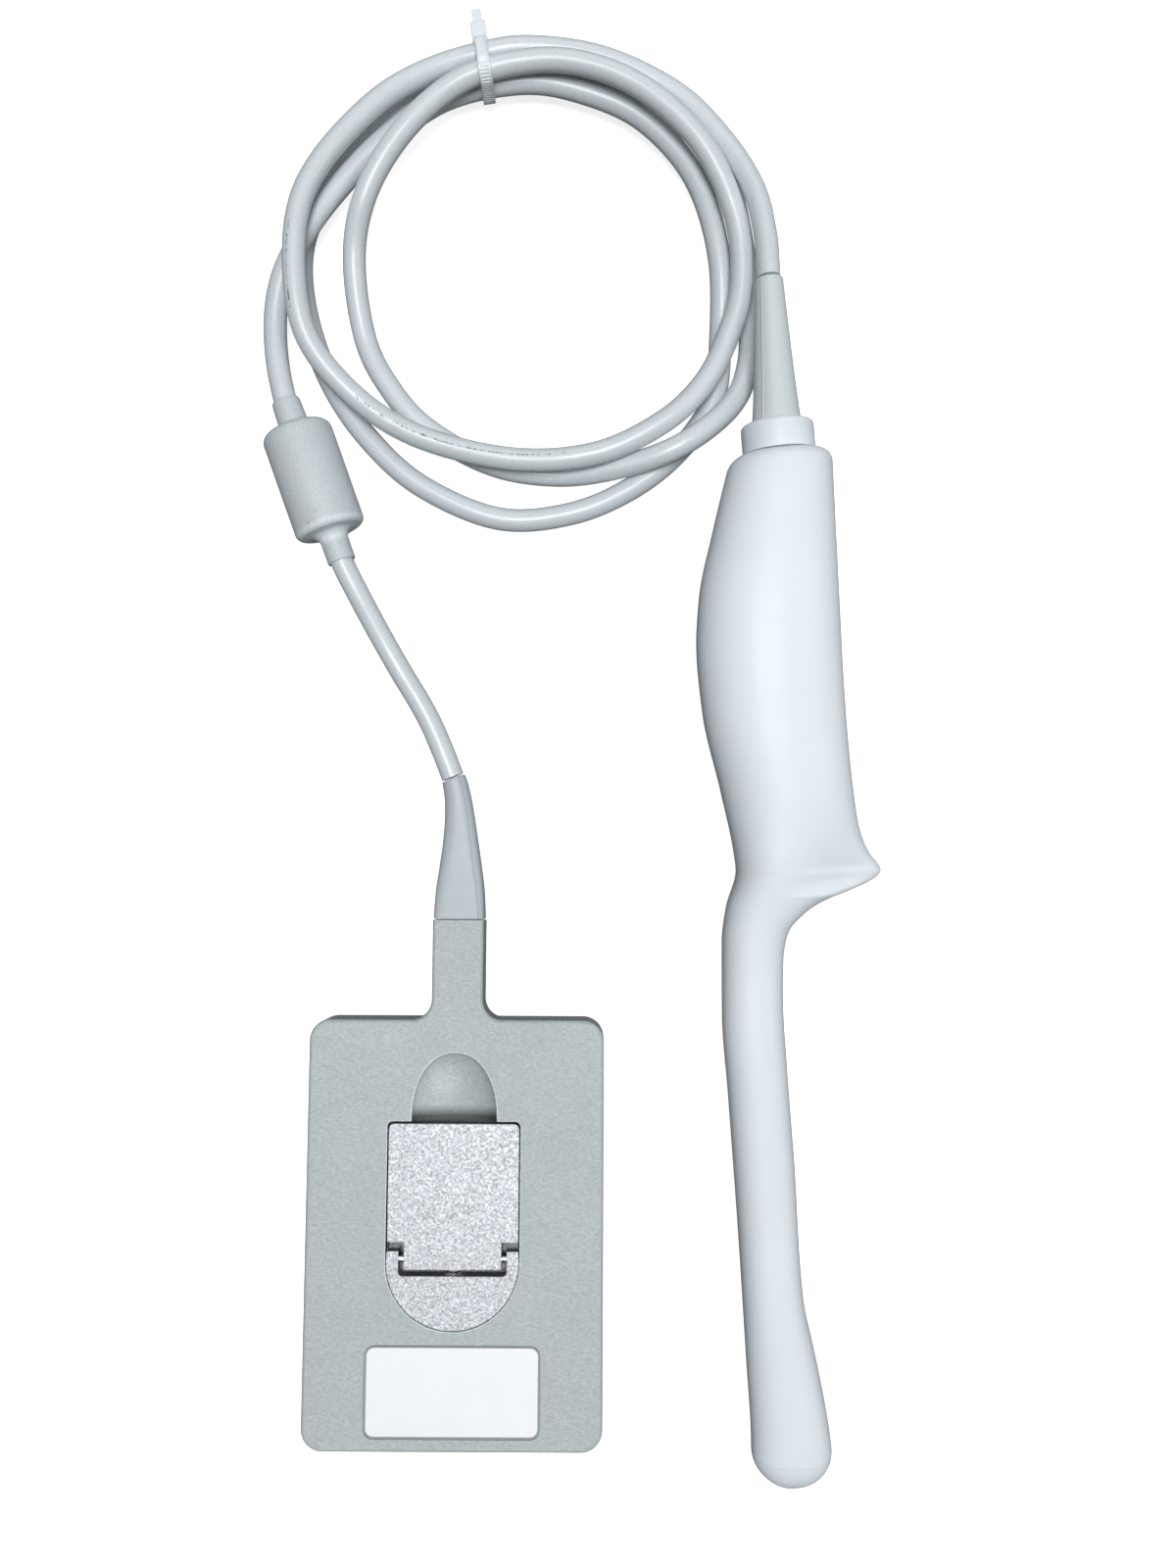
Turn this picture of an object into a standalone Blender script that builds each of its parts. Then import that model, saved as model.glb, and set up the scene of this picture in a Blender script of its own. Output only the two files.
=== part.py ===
"""Intracavity ultrasound transducer probe: handset, coiled cable with ferrite, and flat latching connector.

All sizes below are in millimetres, and the meshes and places are turned into metres when they are made.
The handset lies along +Y with its acoustic tip at the low end, the connector lies beside it, and z = 0 is
the table that both rest on.
"""
import math

import bmesh
import bpy
import numpy as np

MM = 0.001

# Clearances
FACE_GAP = 0.3
RUNNING_GAP = 0.08
SPLIT_GAP = 0.3

# Handset, in its own frame: x across, v along from the tip, w through the depth
TIP_Y = -176.7
TIP_ROUND = 11.0
TIP_X = 1.3
LEFT_TIP_POWER = 0.62
RIGHT_TIP_POWER = 0.5
SHOULDER_V = 303.4
SHOULDER_ROUND = 4.0
END_TURN = math.radians(5.0)
END_SLOPE_START_V = 262.0
SHELL_WALL = 2.2
END_WALL = 3.5
SECTION_ROUNDNESS = 0.88
LEFT_EDGE = (
    (11.0, -10.2), (37.9, -11.8), (78.3, -14.5), (117.3, -17.49), (140.5, -19.28), (162.1, -19.4),
    (171.8, -18.22), (182.5, -15.35), (187.6, -15.96), (205.4, -19.82), (229.0, -25.35),
    (249.2, -27.14), (261.9, -26.42), (282.0, -22.51), (304.7, -17.2),
)
RIGHT_EDGE = (
    (11.0, 13.5), (14.9, 13.1), (25.9, 11.3), (45.5, 7.2), (54.3, 5.2), (71.6, 3.5), (92.6, 2.3),
    (124.0, -0.2), (147.1, -1.6), (156.9, -1.5), (162.9, -0.7), (166.1, 0.5), (169.5, 3.5),
    (172.4, 7.0), (174.9, 11.6), (177.6, 18.6), (179.6, 23.3), (181.3, 25.9), (183.0, 26.9),
    (184.2, 26.4), (188.2, 23.38), (193.6, 20.9), (199.9, 19.41), (230.7, 15.95), (263.6, 13.86),
    (304.7, 11.5),
)
CREST_LINE = (
    (0.0, 1.3), (12.7, 1.8), (58.7, -4.2), (98.7, -7.0), (146.7, -10.4), (156.7, -10.8), (164.7, -9.5),
    (173.7, -5.5), (182.7, -3.0), (198.7, -1.5), (228.7, -4.4), (250.7, -5.6), (304.7, -2.8),
)
HALF_DEPTH = ((11.0, 8.6), (148.7, 8.6), (163.7, 9.5), (188.7, 13.5), (248.7, 16.0), (304.7, 13.5))
SPUR_THICK = 11.0
SPUR_START_REACH = 20.0
SPUR_FULL_REACH = 29.0
SPUR_CORE_REACH = 13.0
SPUR_FLANK = 0.8
SHAFT_END_V = 100.0

# Acoustic tip
LENS_SEAT_V = 9.5
LENS_WALL = 1.6
ARRAY_RADIUS = 6.7
ARRAY_HALF_ANGLE = math.radians(62)
ARRAY_HALF_HEIGHT = 3.8
PIEZO_THICK = 0.6
MATCHING_THICK = 0.6
BACKING_END_V = 22.0
BACKING_WIDTH = 10.0
FLEX_WIDTH = 7.0
FLEX_THICK = 0.4
BOARD_START_V = 203.7
BOARD_LENGTH = 52.0
BOARD_WIDTH = 20.0
BOARD_X = -4.0
BOARD_THICK = 1.2

# Cable outlet of the handset
COLLAR_X = -3.34
COLLAR_RADIUS = 10.475
COLLAR_LENGTH = 8.4
COLLAR_ROUND = 1.5
COLLAR_SPIGOT_RADIUS = 7.2
COLLAR_FLANGE_RADIUS = 9.0
COLLAR_FLANGE = 3.0
CORE_RADIUS = 2.6
SEAL_WALL = 1.0
CLAMP_WALL = 1.6
CLAMP_LENGTH = 10.0
CLAMP_TO_FLANGE = 5.2
BOOT_BASE_RADIUS = 7.2
BOOT_SEAT_DEPTH = 3.3
BOOT_END_RADIUS = 4.05
BOOT_LENGTH = 41.9
BOOT_TAPER_POWER = 0.78
BOOT_LEAN = 1.16

# Cable
CABLE_RADIUS = 3.4
CABLE_ROUTE = (
    (-6.55, 176.85, 19.6), (-7.4, 190.0, 18.4), (-10.6, 204.6, 15.9), (-19.3, 219.7, 13.4),
    (-32.7, 233.7, 12.1), (-53.9, 244.2, 11.8), (-75.8, 247.3, 12.0), (-91.9, 244.8, 12.15),
    (-107.8, 238.3, 13.8), (-121.2, 228.5, 15.8), (-135.9, 211.1, 17.8), (-142.6, 195.0, 18.4),
    (-143.0, 172.9, 17.7), (-138.0, 157.1, 15.6), (-123.2, 141.8, 12.5), (-105.3, 132.4, 11.0),
    (-79.3, 126.7, 11.2), (-55.7, 128.2, 12.9), (-36.5, 137.3, 13.2), (-24.6, 148.8, 12.3),
    (-17.7, 162.1, 12.1), (-13.6, 177.5, 12.9), (-15.6, 197.0, 14.4), (-25.9, 217.3, 16.9),
    (-43.5, 233.1, 17.3), (-63.4, 240.5, 17.0), (-82.5, 240.0, 16.1), (-98.1, 233.9, 16.1),
    (-112.9, 220.1, 16.2), (-123.5, 203.5, 13.9), (-128.0, 187.3, 7.6), (-125.6, 165.6, 3.7),
    (-118.6, 150.9, 3.6), (-107.1, 138.0, 3.6), (-87.4, 127.1, 3.6), (-67.0, 123.8, 4.0),
    (-47.8, 125.6, 8.0), (-31.0, 131.0, 11.4), (-16.4, 143.0, 9.0), (-10.5, 157.4, 4.8),
    (-10.4, 173.9, 3.6), (-11.9, 191.8, 3.6), (-18.0, 214.2, 3.6), (-33.8, 233.1, 3.7), (-55.0, 244.4, 4.2),
    (-79.7, 245.8, 4.85), (-99.6, 240.7, 4.7), (-115.9, 232.1, 3.7), (-130.3, 217.7, 3.6),
    (-140.6, 202.4, 3.6), (-144.5, 188.3, 3.6), (-142.4, 170.0, 3.6), (-135.0, 150.3, 3.6),
    (-123.3, 133.6, 3.6), (-108.0, 120.3, 3.6), (-85.6, 110.9, 3.6), (-64.7, 112.1, 3.6),
    (-46.8, 119.2, 3.6), (-32.1, 130.4, 3.6), (-21.2, 145.9, 3.6), (-19.0, 163.2, 4.7), (-19.7, 188.5, 7.4),
    (-27.1, 211.5, 7.9), (-42.2, 228.3, 8.2), (-60.9, 236.6, 8.5), (-78.6, 238.9, 8.9),
    (-100.7, 234.0, 9.05), (-119.2, 221.2, 9.2), (-133.9, 205.2, 10.1), (-143.0, 191.8, 11.0),
    (-149.2, 178.6, 10.5), (-150.9, 163.2, 9.7), (-147.9, 144.5, 10.4), (-139.5, 120.65, 10.4),
    (-134.42, 106.23, 10.4), (-131.1, 96.8, 10.4), (-126.8, 87.8, 8.8), (-122.3, 78.9, 6.4),
    (-118.2, 71.2, 4.6), (-113.9, 63.6, 3.7), (-109.4, 56.2, 3.6), (-105.6, 49.1, 3.6), (-102.3, 41.5, 3.6),
    (-99.1, 33.3, 3.7),
)

# Cable tie round the bundle, in a frame whose X axis runs along the cables
TIE_PLACE = (-88.8, 240.6)
TIE_TURN = math.radians(8.6)
TIE_STRANDS = ((3.5, 4.9), (4.9, 12.05), (-2.15, 16.0), (-2.95, 8.95))
TIE_GAP = 0.65
TIE_THICK = 0.7
TIE_WIDTH = 3.6
TIE_HEAD = (4.6, 6.6, 4.0)
TIE_HEAD_HEIGHT = 9.0
TIE_TAIL_LENGTH = 4.1

# Ferrite on the lead
FERRITE_TOP = (-147.9, 144.5)
FERRITE_BOTTOM = (-131.1, 96.8)
FERRITE_RADIUS = 10.4
FERRITE_START = 9.0
FERRITE_BODY = 32.4
FERRITE_TOP_ROUND = 2.8
FERRITE_LOW_ROUND = 2.0
FERRITE_FLARE_RADIUS = 5.3
FERRITE_NECK_RADIUS = 4.15
FERRITE_CUFF_RADII = (3.9, 4.2, 4.4)
FERRITE_BORE_RADIUS = 3.6
CORE_BORE_RADIUS = 4.2
FERRITE_WALL = 1.6
FERRITE_END_WALL = 3.0

# Connector, in its own frame: origin under the middle of the case, y towards the cable, z up through the case
CONNECTOR_PLACE = (-97.2, -99.57)
CONNECTOR_TURN = math.radians(-0.3)
CASE_WIDTH = 86.1
CASE_LENGTH = 121.8
CASE_HEIGHT = 14.0
CASE_CORNER = 6.2
CASE_EDGE = 1.2
BASE_EDGE = 0.5
SPLIT_Z = 6.0
CASE_WALL = 2.2
POCKET_CORNER = 14.0
NECK_WIDTH = 15.1
NECK_LENGTH = 28.98
NECK_BOTTOM_Z = 3.0
NECK_ROOT = 5.8
NECK_OVERLAP = 6.0
CHANNEL_RADIUS = 4.2
PARTING_CHAMFER = 0.25

# Latch, all measured from the spindle axis
LATCH_X = -0.4
LATCH_Y = -8.22
LATCH_RADIUS = 19.3
LATCH_GAP = 0.3
LATCH_TOP_Z = 13.65
LEVER_THICK = 2.8
LEVER_LENGTH = 39.2
LEVER_CORNER = 1.5
LEVER_SHOULDER_Y = 5.6
TONGUE_WIDTH = 28.2
TONGUE_END_Y = -2.1
PIN_Y = 0.8
PIN_RADIUS = 1.1
PIN_HOLE_DEPTH = 1.9
PIN_END_GAP = 0.3
EAR_TOP_Y = 3.1
NOTCH_WIDTH = 31.2
NOTCH_BOTTOM_Y = -3.9
NOTCH_TOP_Y = 4.8
NOTCH_CORNER = 1.2
DISC_TOP_Z = 10.3
DISC_BOTTOM_Z = 7.65
NOTCH_FLOOR_Z = 8.7
WELL_FLOOR_Z = 7.35
SCOOP_HALF_WIDTH = 12.45
SCOOP_LENGTH = 20.0
SCOOP_DEPTH = 3.4
SCOOP_SQUARENESS = 2.2
SCOOP_SIDES = 28
SCOOP_UNDER_SHELF = 0.4
ISLAND_RIM = 1.6
LEVER_RELIEF = 1.0
LEVER_RIM = 4.0
LEVER_EDGE = 0.3
LEVER_LOW_CORNER = 0.6
SHELF_END_GAP = 0.75
SHELF_FLOOR_GAP = 0.5

# Spindle under the rotor
SPINDLE_RADIUS = 5.6
SPINDLE_BOSS_RADIUS = 4.0
GROOVE_RADIUS = 4.8
CIRCLIP_THICK = 0.5
CIRCLIP_RADIUS = 7.6
FOOT_RADIUS = 5.0
FOOT_PROUD = 5.37
FOOT_THICK = 3.6
FOOT_LOBE_REACH = 9.0
FOOT_LOBE_WIDTH = 5.0
FOOT_LOBE_CORNER = 2.0
FOOT_STEP = 1.0
FOOT_UNDERCUT = 1.4

# Inside and under the connector
UNDER_RECESS = (58.0, 62.0)
UNDER_RECESS_DEPTH = 1.2
UNDER_RECESS_CORNER = 4.0
BASE_FLOOR = 3.2
CONTACT_WINDOW = (50.6, 54.6)
WINDOW_CORNER = 2.0
SPINDLE_CLEARANCE = 1.9
BLOCK_THICK = 1.3
PAD_ROWS = 2
PAD_COLUMNS = 8
PAD_PITCH = 5.4
PAD_SIZE = 3.8
PAD_HEIGHT = 0.3
PAD_PLATE = 0.5
BOARD_GAP = 0.3
CONNECTOR_BOARD_THICK = 1.4
SHIELD_THICK = 0.4
HEADER = (28.0, 4.5, 5.3)
FERRULE_START = 10.0
FERRULE_LENGTH = 10.0
FERRULE_WALL = 1.0
LABEL_CENTRE_Y = -44.12
LABEL_SIZE = (50.6, 26.0)
LABEL_CORNER = 2.2
LABEL_RECESS = 0.5
LABEL_THICK = 0.25
LABEL_GAP = 0.25
SCREW_PLACE = (38.0, 55.9)
SCREW_HEAD_RADIUS = 2.6
SCREW_HEAD_HEIGHT = 1.7
SCREW_SINK = 0.6
SCREW_BEVEL = 0.4
SCREW_SHANK_RADIUS = 1.1
SCREW_LENGTH = 9.0

# Boot of the connector, from the neck to the cable
BOOT_WIDTHS = (15.1, 14.5, 12.6, 10.5, 8.9, 7.9, 7.3)
BOOT_HEIGHTS = (10.8, 9.7, 8.8, 8.1, 7.6, 7.3, 7.2)
BOOT_SQUARENESS = (0.35, 0.45, 0.6, 0.75, 0.88, 0.97, 1.0)
BOOT_NECK_PULL = 42.0
BOOT_CABLE_PULL = 25.0

COLOURS = {
    "handset_white": ((0.86, 0.87, 0.89), 0.32, 0.0),
    "lens_rubber": ((0.84, 0.85, 0.87), 0.4, 0.0),
    "cable_grey": ((0.62, 0.64, 0.64), 0.45, 0.0),
    "boot_grey": ((0.5, 0.53, 0.51), 0.55, 0.0),
    "case_grey": ((0.5, 0.53, 0.51), 0.6, 0.0),
    "latch_silver": ((0.6, 0.6, 0.6), 0.4, 0.8),
    "steel": ((0.55, 0.55, 0.56), 0.3, 1.0),
    "brass": ((0.7, 0.56, 0.25), 0.3, 1.0),
    "board_green": ((0.04, 0.2, 0.1), 0.5, 0.0),
    "amber_film": ((0.6, 0.3, 0.06), 0.4, 0.0),
    "ceramic_dark": ((0.12, 0.12, 0.12), 0.6, 0.0),
    "tie_nylon": ((0.85, 0.86, 0.86), 0.4, 0.0),
    "label_white": ((0.85, 0.85, 0.85), 0.4, 0.0),
    "black_plastic": ((0.05, 0.05, 0.05), 0.5, 0.0),
}


# Helpers: scene, materials and mesh objects

def clear_scene():
    for thing in list(bpy.data.objects):
        bpy.data.objects.remove(thing, do_unlink=True)


def make_materials():
    made = {}
    for name, (colour, roughness, metallic) in COLOURS.items():
        material = bpy.data.materials.new(name)
        material.use_nodes = True
        shader = material.node_tree.nodes["Principled BSDF"]
        shader.inputs["Base Color"].default_value = (*colour, 1.0)
        shader.inputs["Roughness"].default_value = roughness
        shader.inputs["Metallic"].default_value = metallic
        made[name] = material
    return made


def add_empty(name, place, turn=(0.0, 0.0, 0.0), parent=None):
    empty = bpy.data.objects.new(name, None)
    bpy.context.collection.objects.link(empty)
    empty.location = [value * MM for value in place]
    empty.rotation_euler = turn
    empty.parent = parent
    return empty


def add_mesh(name, points, faces, material, parent=None, place=(0.0, 0.0, 0.0), sharp=35.0):
    """An object with outward faces, from points in millimetres."""
    mesh = bpy.data.meshes.new(name)
    mesh.from_pydata((np.asarray(points, float) * MM).tolist(), [], [list(face) for face in faces])
    build = bmesh.new()
    build.from_mesh(mesh)
    bmesh.ops.remove_doubles(build, verts=build.verts, dist=1e-4 * MM)
    bmesh.ops.recalc_face_normals(build, faces=build.faces)
    build.to_mesh(mesh)
    build.free()
    mesh.shade_smooth()
    mesh.set_sharp_from_angle(angle=math.radians(sharp))
    made = bpy.data.objects.new(name, mesh)
    bpy.context.collection.objects.link(made)
    made.location = [value * MM for value in place]
    made.parent = parent
    if material is not None:
        mesh.materials.append(material)
    return made


def cut(target, cutter, operation="DIFFERENCE"):
    """A live Boolean on target, with the cutter hidden from renders."""
    cutter.hide_render = True
    cutter.display_type = "WIRE"
    boolean = target.modifiers.new(cutter.name, "BOOLEAN")
    boolean.object = cutter
    boolean.operation = operation
    boolean.solver = "EXACT"


# Helpers: shapes

def smooth_line(knots):
    """A smooth curve through (place, value) knots that never overshoots them."""
    place, value = np.array(knots, float).T
    step = np.diff(place)
    slope = np.diff(value) / step
    tangent = np.zeros_like(value)
    before, after = slope[:-1], slope[1:]
    same_way = before * after > 0
    near, far = 2 * step[1:] + step[:-1], step[1:] + 2 * step[:-1]
    safe_before = np.where(same_way, before, 1.0)
    safe_after = np.where(same_way, after, 1.0)
    tangent[1:-1] = np.where(same_way, (near + far) / (near / safe_before + far / safe_after), 0.0)
    tangent[-1] = slope[-1]

    def at(where):
        where = np.asarray(where, float)
        index = np.clip(np.searchsorted(place, where) - 1, 0, len(step) - 1)
        part = np.clip((where - place[index]) / step[index], 0.0, 1.0)
        square, cube = part ** 2, part ** 3
        return (
            (2 * cube - 3 * square + 1) * value[index]
            + (cube - 2 * square + part) * step[index] * tangent[index]
            + (3 * square - 2 * cube) * value[index + 1]
            + (cube - square) * step[index] * tangent[index + 1]
        )

    return at


def rounded_outline(corners, arc_steps=5):
    """A closed plan outline through (x, y, radius) corners, each rounded by an arc."""
    points = []
    count = len(corners)
    for index, (x, y, radius) in enumerate(corners):
        corner = np.array((x, y), float)
        back = np.array(corners[index - 1][:2], float) - corner
        ahead = np.array(corners[(index + 1) % count][:2], float) - corner
        back /= np.linalg.norm(back)
        ahead /= np.linalg.norm(ahead)
        half = 0.5 * math.acos(np.clip(back @ ahead, -1.0, 1.0))
        if radius <= 0:
            points.append(corner)
            continue
        middle = (back + ahead) / np.linalg.norm(back + ahead)
        centre = corner + middle * radius / math.sin(half)
        first = corner + back * radius / math.tan(half) - centre
        last = corner + ahead * radius / math.tan(half) - centre
        start = math.atan2(first[1], first[0])
        sweep = (math.atan2(last[1], last[0]) - start + math.pi) % (2 * math.pi) - math.pi
        for part in np.linspace(0.0, 1.0, arc_steps + 1):
            angle = start + part * sweep
            points.append(centre + radius * np.array((math.cos(angle), math.sin(angle))))
    kept = [points[index] for index in range(len(points))
            if np.linalg.norm(points[index] - points[index - 1]) > 1e-3]
    return np.array(kept)


def rectangle(width, length, corner, centre=(0.0, 0.0), arc_steps=4):
    x, y = width / 2, length / 2
    corners = [(-x, -y, corner), (x, -y, corner), (x, y, corner), (-x, y, corner)]
    return rounded_outline(corners, arc_steps) + np.array(centre)


def circle(radius, centre=(0.0, 0.0), sides=32):
    angle = np.arange(sides) * 2 * math.pi / sides
    return np.stack([centre[0] + radius * np.cos(angle), centre[1] + radius * np.sin(angle)], 1)


def stack(levels):
    """A solid lofted through (outline, height) levels with equal point counts."""
    rings = [np.column_stack([outline, np.full(len(outline), height)]) for outline, height in levels]
    return loft(rings)


def loft(rings):
    """A solid through closed rings with equal point counts, closed by a face at each end."""
    count = len(rings[0])
    points = np.concatenate(rings)
    faces = []
    for ring in range(len(rings) - 1):
        for index in range(count):
            following = (index + 1) % count
            low, high = ring * count, (ring + 1) * count
            faces.append((low + index, low + following, high + following, high + index))
    faces.append(tuple(range(count - 1, -1, -1)))
    faces.append(tuple(range((len(rings) - 1) * count, len(rings) * count)))
    return points, faces


def turned(profile, sides=24):
    """A solid turned round Y from a (radius, y) profile, closed or ending on the axis."""
    on_axis = profile[0][0] == 0 and profile[-1][0] == 0
    angle = np.arange(sides) * 2 * math.pi / sides
    body = profile[1:-1] if on_axis else profile
    points = [(r * math.cos(a), y, r * math.sin(a)) for r, y in body for a in angle]
    faces = []
    rows = len(body)
    for row in range(rows - 1 if on_axis else rows):
        low, high = row * sides, ((row + 1) % rows) * sides
        for index in range(sides):
            following = (index + 1) % sides
            faces.append((low + index, low + following, high + following, high + index))
    if on_axis:
        for pole, row in ((profile[0], 0), (profile[-1], rows - 1)):
            points.append((0.0, pole[1], 0.0))
            for index in range(sides):
                faces.append((row * sides + index, row * sides + (index + 1) % sides, len(points) - 1))
    return points, faces


def corner_arc(centre_radius, centre_y, size, start, end, steps=4):
    """Points of a quarter round on a turned profile."""
    return [
        (centre_radius + size * math.cos(math.radians(a)), centre_y + size * math.sin(math.radians(a)))
        for a in np.linspace(start, end, steps + 1)
    ]


def upright(points):
    """A turned solid stood up, with its axis along Z."""
    points = np.asarray(points, float)
    return np.column_stack([points[:, 0], -points[:, 2], points[:, 1]])


# Handset form: the outline and depth at each distance v from the tip

left_line = smooth_line(LEFT_EDGE)
right_line = smooth_line(RIGHT_EDGE)
crest_line = smooth_line(CREST_LINE)
depth_line = smooth_line(HALF_DEPTH)


def handset_edges(v):
    """Left edge, right edge and half depth at v, rounded at the tip and at the shoulder."""
    v = np.asarray(v, float)
    near_tip = 1.0 - (np.clip(TIP_ROUND - v, 0.0, TIP_ROUND) / TIP_ROUND) ** 2
    left = TIP_X + (left_line(np.maximum(v, TIP_ROUND)) - TIP_X) * near_tip ** LEFT_TIP_POWER
    right = TIP_X + (right_line(np.maximum(v, TIP_ROUND)) - TIP_X) * near_tip ** RIGHT_TIP_POWER
    depth = depth_line(np.maximum(v, TIP_ROUND)) * near_tip ** 0.5
    into_round = np.clip(v - (SHOULDER_V - SHOULDER_ROUND), 0.0, SHOULDER_ROUND)
    inset = SHOULDER_ROUND - np.sqrt(SHOULDER_ROUND ** 2 - into_round ** 2)
    return left + inset, right - inset, depth - inset


def cavity_edges(v):
    """The same for the hollow: the outer form shrunk by the wall, which leaves the spur solid."""
    offsets = np.linspace(-SHELL_WALL, SHELL_WALL, 9)
    moved = np.clip(np.asarray(v)[..., None] + offsets, 0.0, SHOULDER_V)
    left, right, depth = handset_edges(moved)
    inward = np.sqrt(SHELL_WALL ** 2 - offsets ** 2)
    core_limit = crest_line(v) + SPUR_CORE_REACH
    return (
        (left + inward).max(-1),
        np.minimum((right - inward).min(-1), core_limit),
        (depth - inward).min(-1),
    )


def skin_points(v, edges, angles, with_spur=True):
    """Points of one skin: rows at v, each a curve over the crest from the right edge to the left edge."""
    left, right, depth = (np.asarray(edge)[:, None] for edge in edges)
    middle = np.clip(crest_line(v)[:, None], left + 0.3 * (right - left), right - 0.3 * (right - left))
    cosine, sine = np.cos(angles)[None, :], np.sin(angles)[None, :]
    across = np.abs(cosine) ** SECTION_ROUNDNESS
    reach = np.where(cosine >= 0, right - middle, middle - left)
    x = middle + np.sign(cosine) * reach * across
    dome = np.abs(sine) ** SECTION_ROUNDNESS
    lip = np.clip(SPUR_THICK / 2 / depth, 0.0, 1.0)
    fall = np.clip(across / SPUR_FLANK, 0.0, 1.0)
    flank = lip * np.sqrt(np.clip(1.0 - across ** 4, 0.0, 1.0))
    flank = flank + (1.0 - lip) * (1.0 - fall ** 2 * (3.0 - 2.0 * fall))
    share = np.clip((right - middle - SPUR_START_REACH) / (SPUR_FULL_REACH - SPUR_START_REACH), 0.0, 1.0)
    share = np.where(cosine > 0, share, 0.0) * (1.0 if with_spur else 0.0)
    w = depth * (dome * (1.0 - share) + flank * share)
    return np.stack([x, np.broadcast_to(np.asarray(v)[:, None], x.shape), w], -1)


def slope_end(points):
    """Moves v with x near the cable's end, so that the shoulder is square to the outlet."""
    share = (points[..., 1] - END_SLOPE_START_V) / (SHOULDER_V - SHOULDER_ROUND - END_SLOPE_START_V)
    sloped = points.copy()
    sloped[..., 1] += math.tan(END_TURN) * np.clip(share, 0.0, 1.0) * (points[..., 0] - COLLAR_X)
    return sloped


def shell_rows():
    """Distances from the tip of the shell's sections, closest together round the spur."""
    stretches = (
        np.linspace(LENS_SEAT_V, LENS_SEAT_V + 5.5, 3),
        np.linspace(25.0, 144.0, 8),
        np.linspace(151.0, 166.7, 5),
        np.linspace(169.2, 188.7, 11),
        np.linspace(193.7, 203.7, 3),
        np.linspace(218.7, SHOULDER_V - SHOULDER_ROUND, 6),
        SHOULDER_V - SHOULDER_ROUND + SHOULDER_ROUND * np.sin(np.radians((35, 62, 90))),
    )
    return np.concatenate(stretches)


def handset_pose():
    """Tilt and height at which the handle's belly and the tip both touch the table."""
    v = np.concatenate([np.linspace(4.0, 60.0, 57), np.linspace(180.0, 300.0, 121)])
    depth = handset_edges(v)[2]
    is_tip = v < SHAFT_END_V
    tilt = 0.0
    for _ in range(6):
        reach = depth * math.cos(tilt) - v * math.sin(tilt)
        tip = np.argmax(np.where(is_tip, reach, -1e9))
        belly = np.argmax(np.where(is_tip, -1e9, reach))
        tilt = math.asin((depth[belly] - depth[tip]) * math.cos(tilt) / (v[belly] - v[tip]))
    return tilt, float((depth * math.cos(tilt) - v * math.sin(tilt)).max())


def add_shell(name, side, materials, parent):
    """One half of the handset's hollow case; side is +1 above the split plane and -1 below it."""
    angles = np.linspace(0.0, math.pi, 13)
    outer_v = shell_rows()
    outer = skin_points(outer_v, handset_edges(outer_v), angles)
    cavity_end = SHOULDER_V - END_WALL
    way_in = (outer_v[:-2] - LENS_SEAT_V) / (outer_v[-3] - LENS_SEAT_V)
    inner_v = LENS_SEAT_V + way_in * (cavity_end - LENS_SEAT_V)
    inner = skin_points(inner_v, cavity_edges(inner_v), angles, with_spur=False)
    bore_radius = COLLAR_SPIGOT_RADIUS + FACE_GAP
    across, bore_w = bore_radius * np.cos(angles), bore_radius * np.sin(angles)
    bore = [
        np.stack([COLLAR_X + across * math.cos(END_TURN) + back * math.sin(END_TURN),
                  SHOULDER_V + across * math.sin(END_TURN) - back * math.cos(END_TURN), bore_w], -1)
        for back in (END_WALL, 0.0)
    ]
    inner = np.concatenate([slope_end(inner), np.array(bore)])
    rings = np.concatenate([slope_end(outer), inner[:, ::-1]], axis=1)
    rings[..., 2] = np.maximum(rings[..., 2], SPLIT_GAP / 2) * side
    rows, count = rings.shape[:2]
    half = count // 2
    points = rings.reshape(-1, 3)
    faces = []
    for row in range(rows - 1):
        for index in range(count):
            following = (index + 1) % count
            faces.append((row * count + index, row * count + following,
                          (row + 1) * count + following, (row + 1) * count + index))
    for row in (0, rows - 1):
        for index in range(half - 1):
            faces.append((row * count + index, row * count + index + 1,
                          row * count + count - 2 - index, row * count + count - 1 - index))
    return add_mesh(name, points, faces, materials["handset_white"], parent, sharp=50.0)


def add_lens(materials, parent):
    """The rounded acoustic window: a cap, and the same cap shrunk about the tip's centre as its hollow."""
    angles = np.arange(24) * 2 * math.pi / 24
    scale = 1.0 - LENS_WALL / TIP_ROUND
    rim_v = LENS_SEAT_V - FACE_GAP

    def cap(size, rim):
        end = math.acos((TIP_ROUND - rim) / TIP_ROUND / size)
        turn = np.linspace(0.0, end, 6)[1:]
        outer_v = TIP_ROUND * (1.0 - np.cos(turn))
        left, right, depth = handset_edges(outer_v)
        section = skin_points(outer_v, (left, right, depth), angles)
        section[..., 2] *= np.where(np.sin(angles) < 0, -1.0, 1.0)[None, :]
        centre = np.array((TIP_X, TIP_ROUND, 0.0))
        return centre + (section - centre) * size

    outer, inner = cap(1.0, rim_v), cap(scale, rim_v)
    rings = list(outer) + list(inner[::-1])
    points = np.concatenate(rings)
    count = len(angles)
    faces = []
    for row in range(len(rings) - 1):
        for index in range(count):
            following = (index + 1) % count
            faces.append((row * count + index, row * count + following,
                          (row + 1) * count + following, (row + 1) * count + index))
    poles = ((0, 0.0), (len(rings) - 1, TIP_ROUND * (1.0 - scale)))
    for row, pole_v in poles:
        points = np.vstack([points, (TIP_X, pole_v, 0.0)])
        for index in range(count):
            faces.append((row * count + index, row * count + (index + 1) % count, len(points) - 1))
    return add_mesh("acoustic_lens", points, faces, materials["lens_rubber"], parent, sharp=60.0)


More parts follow.
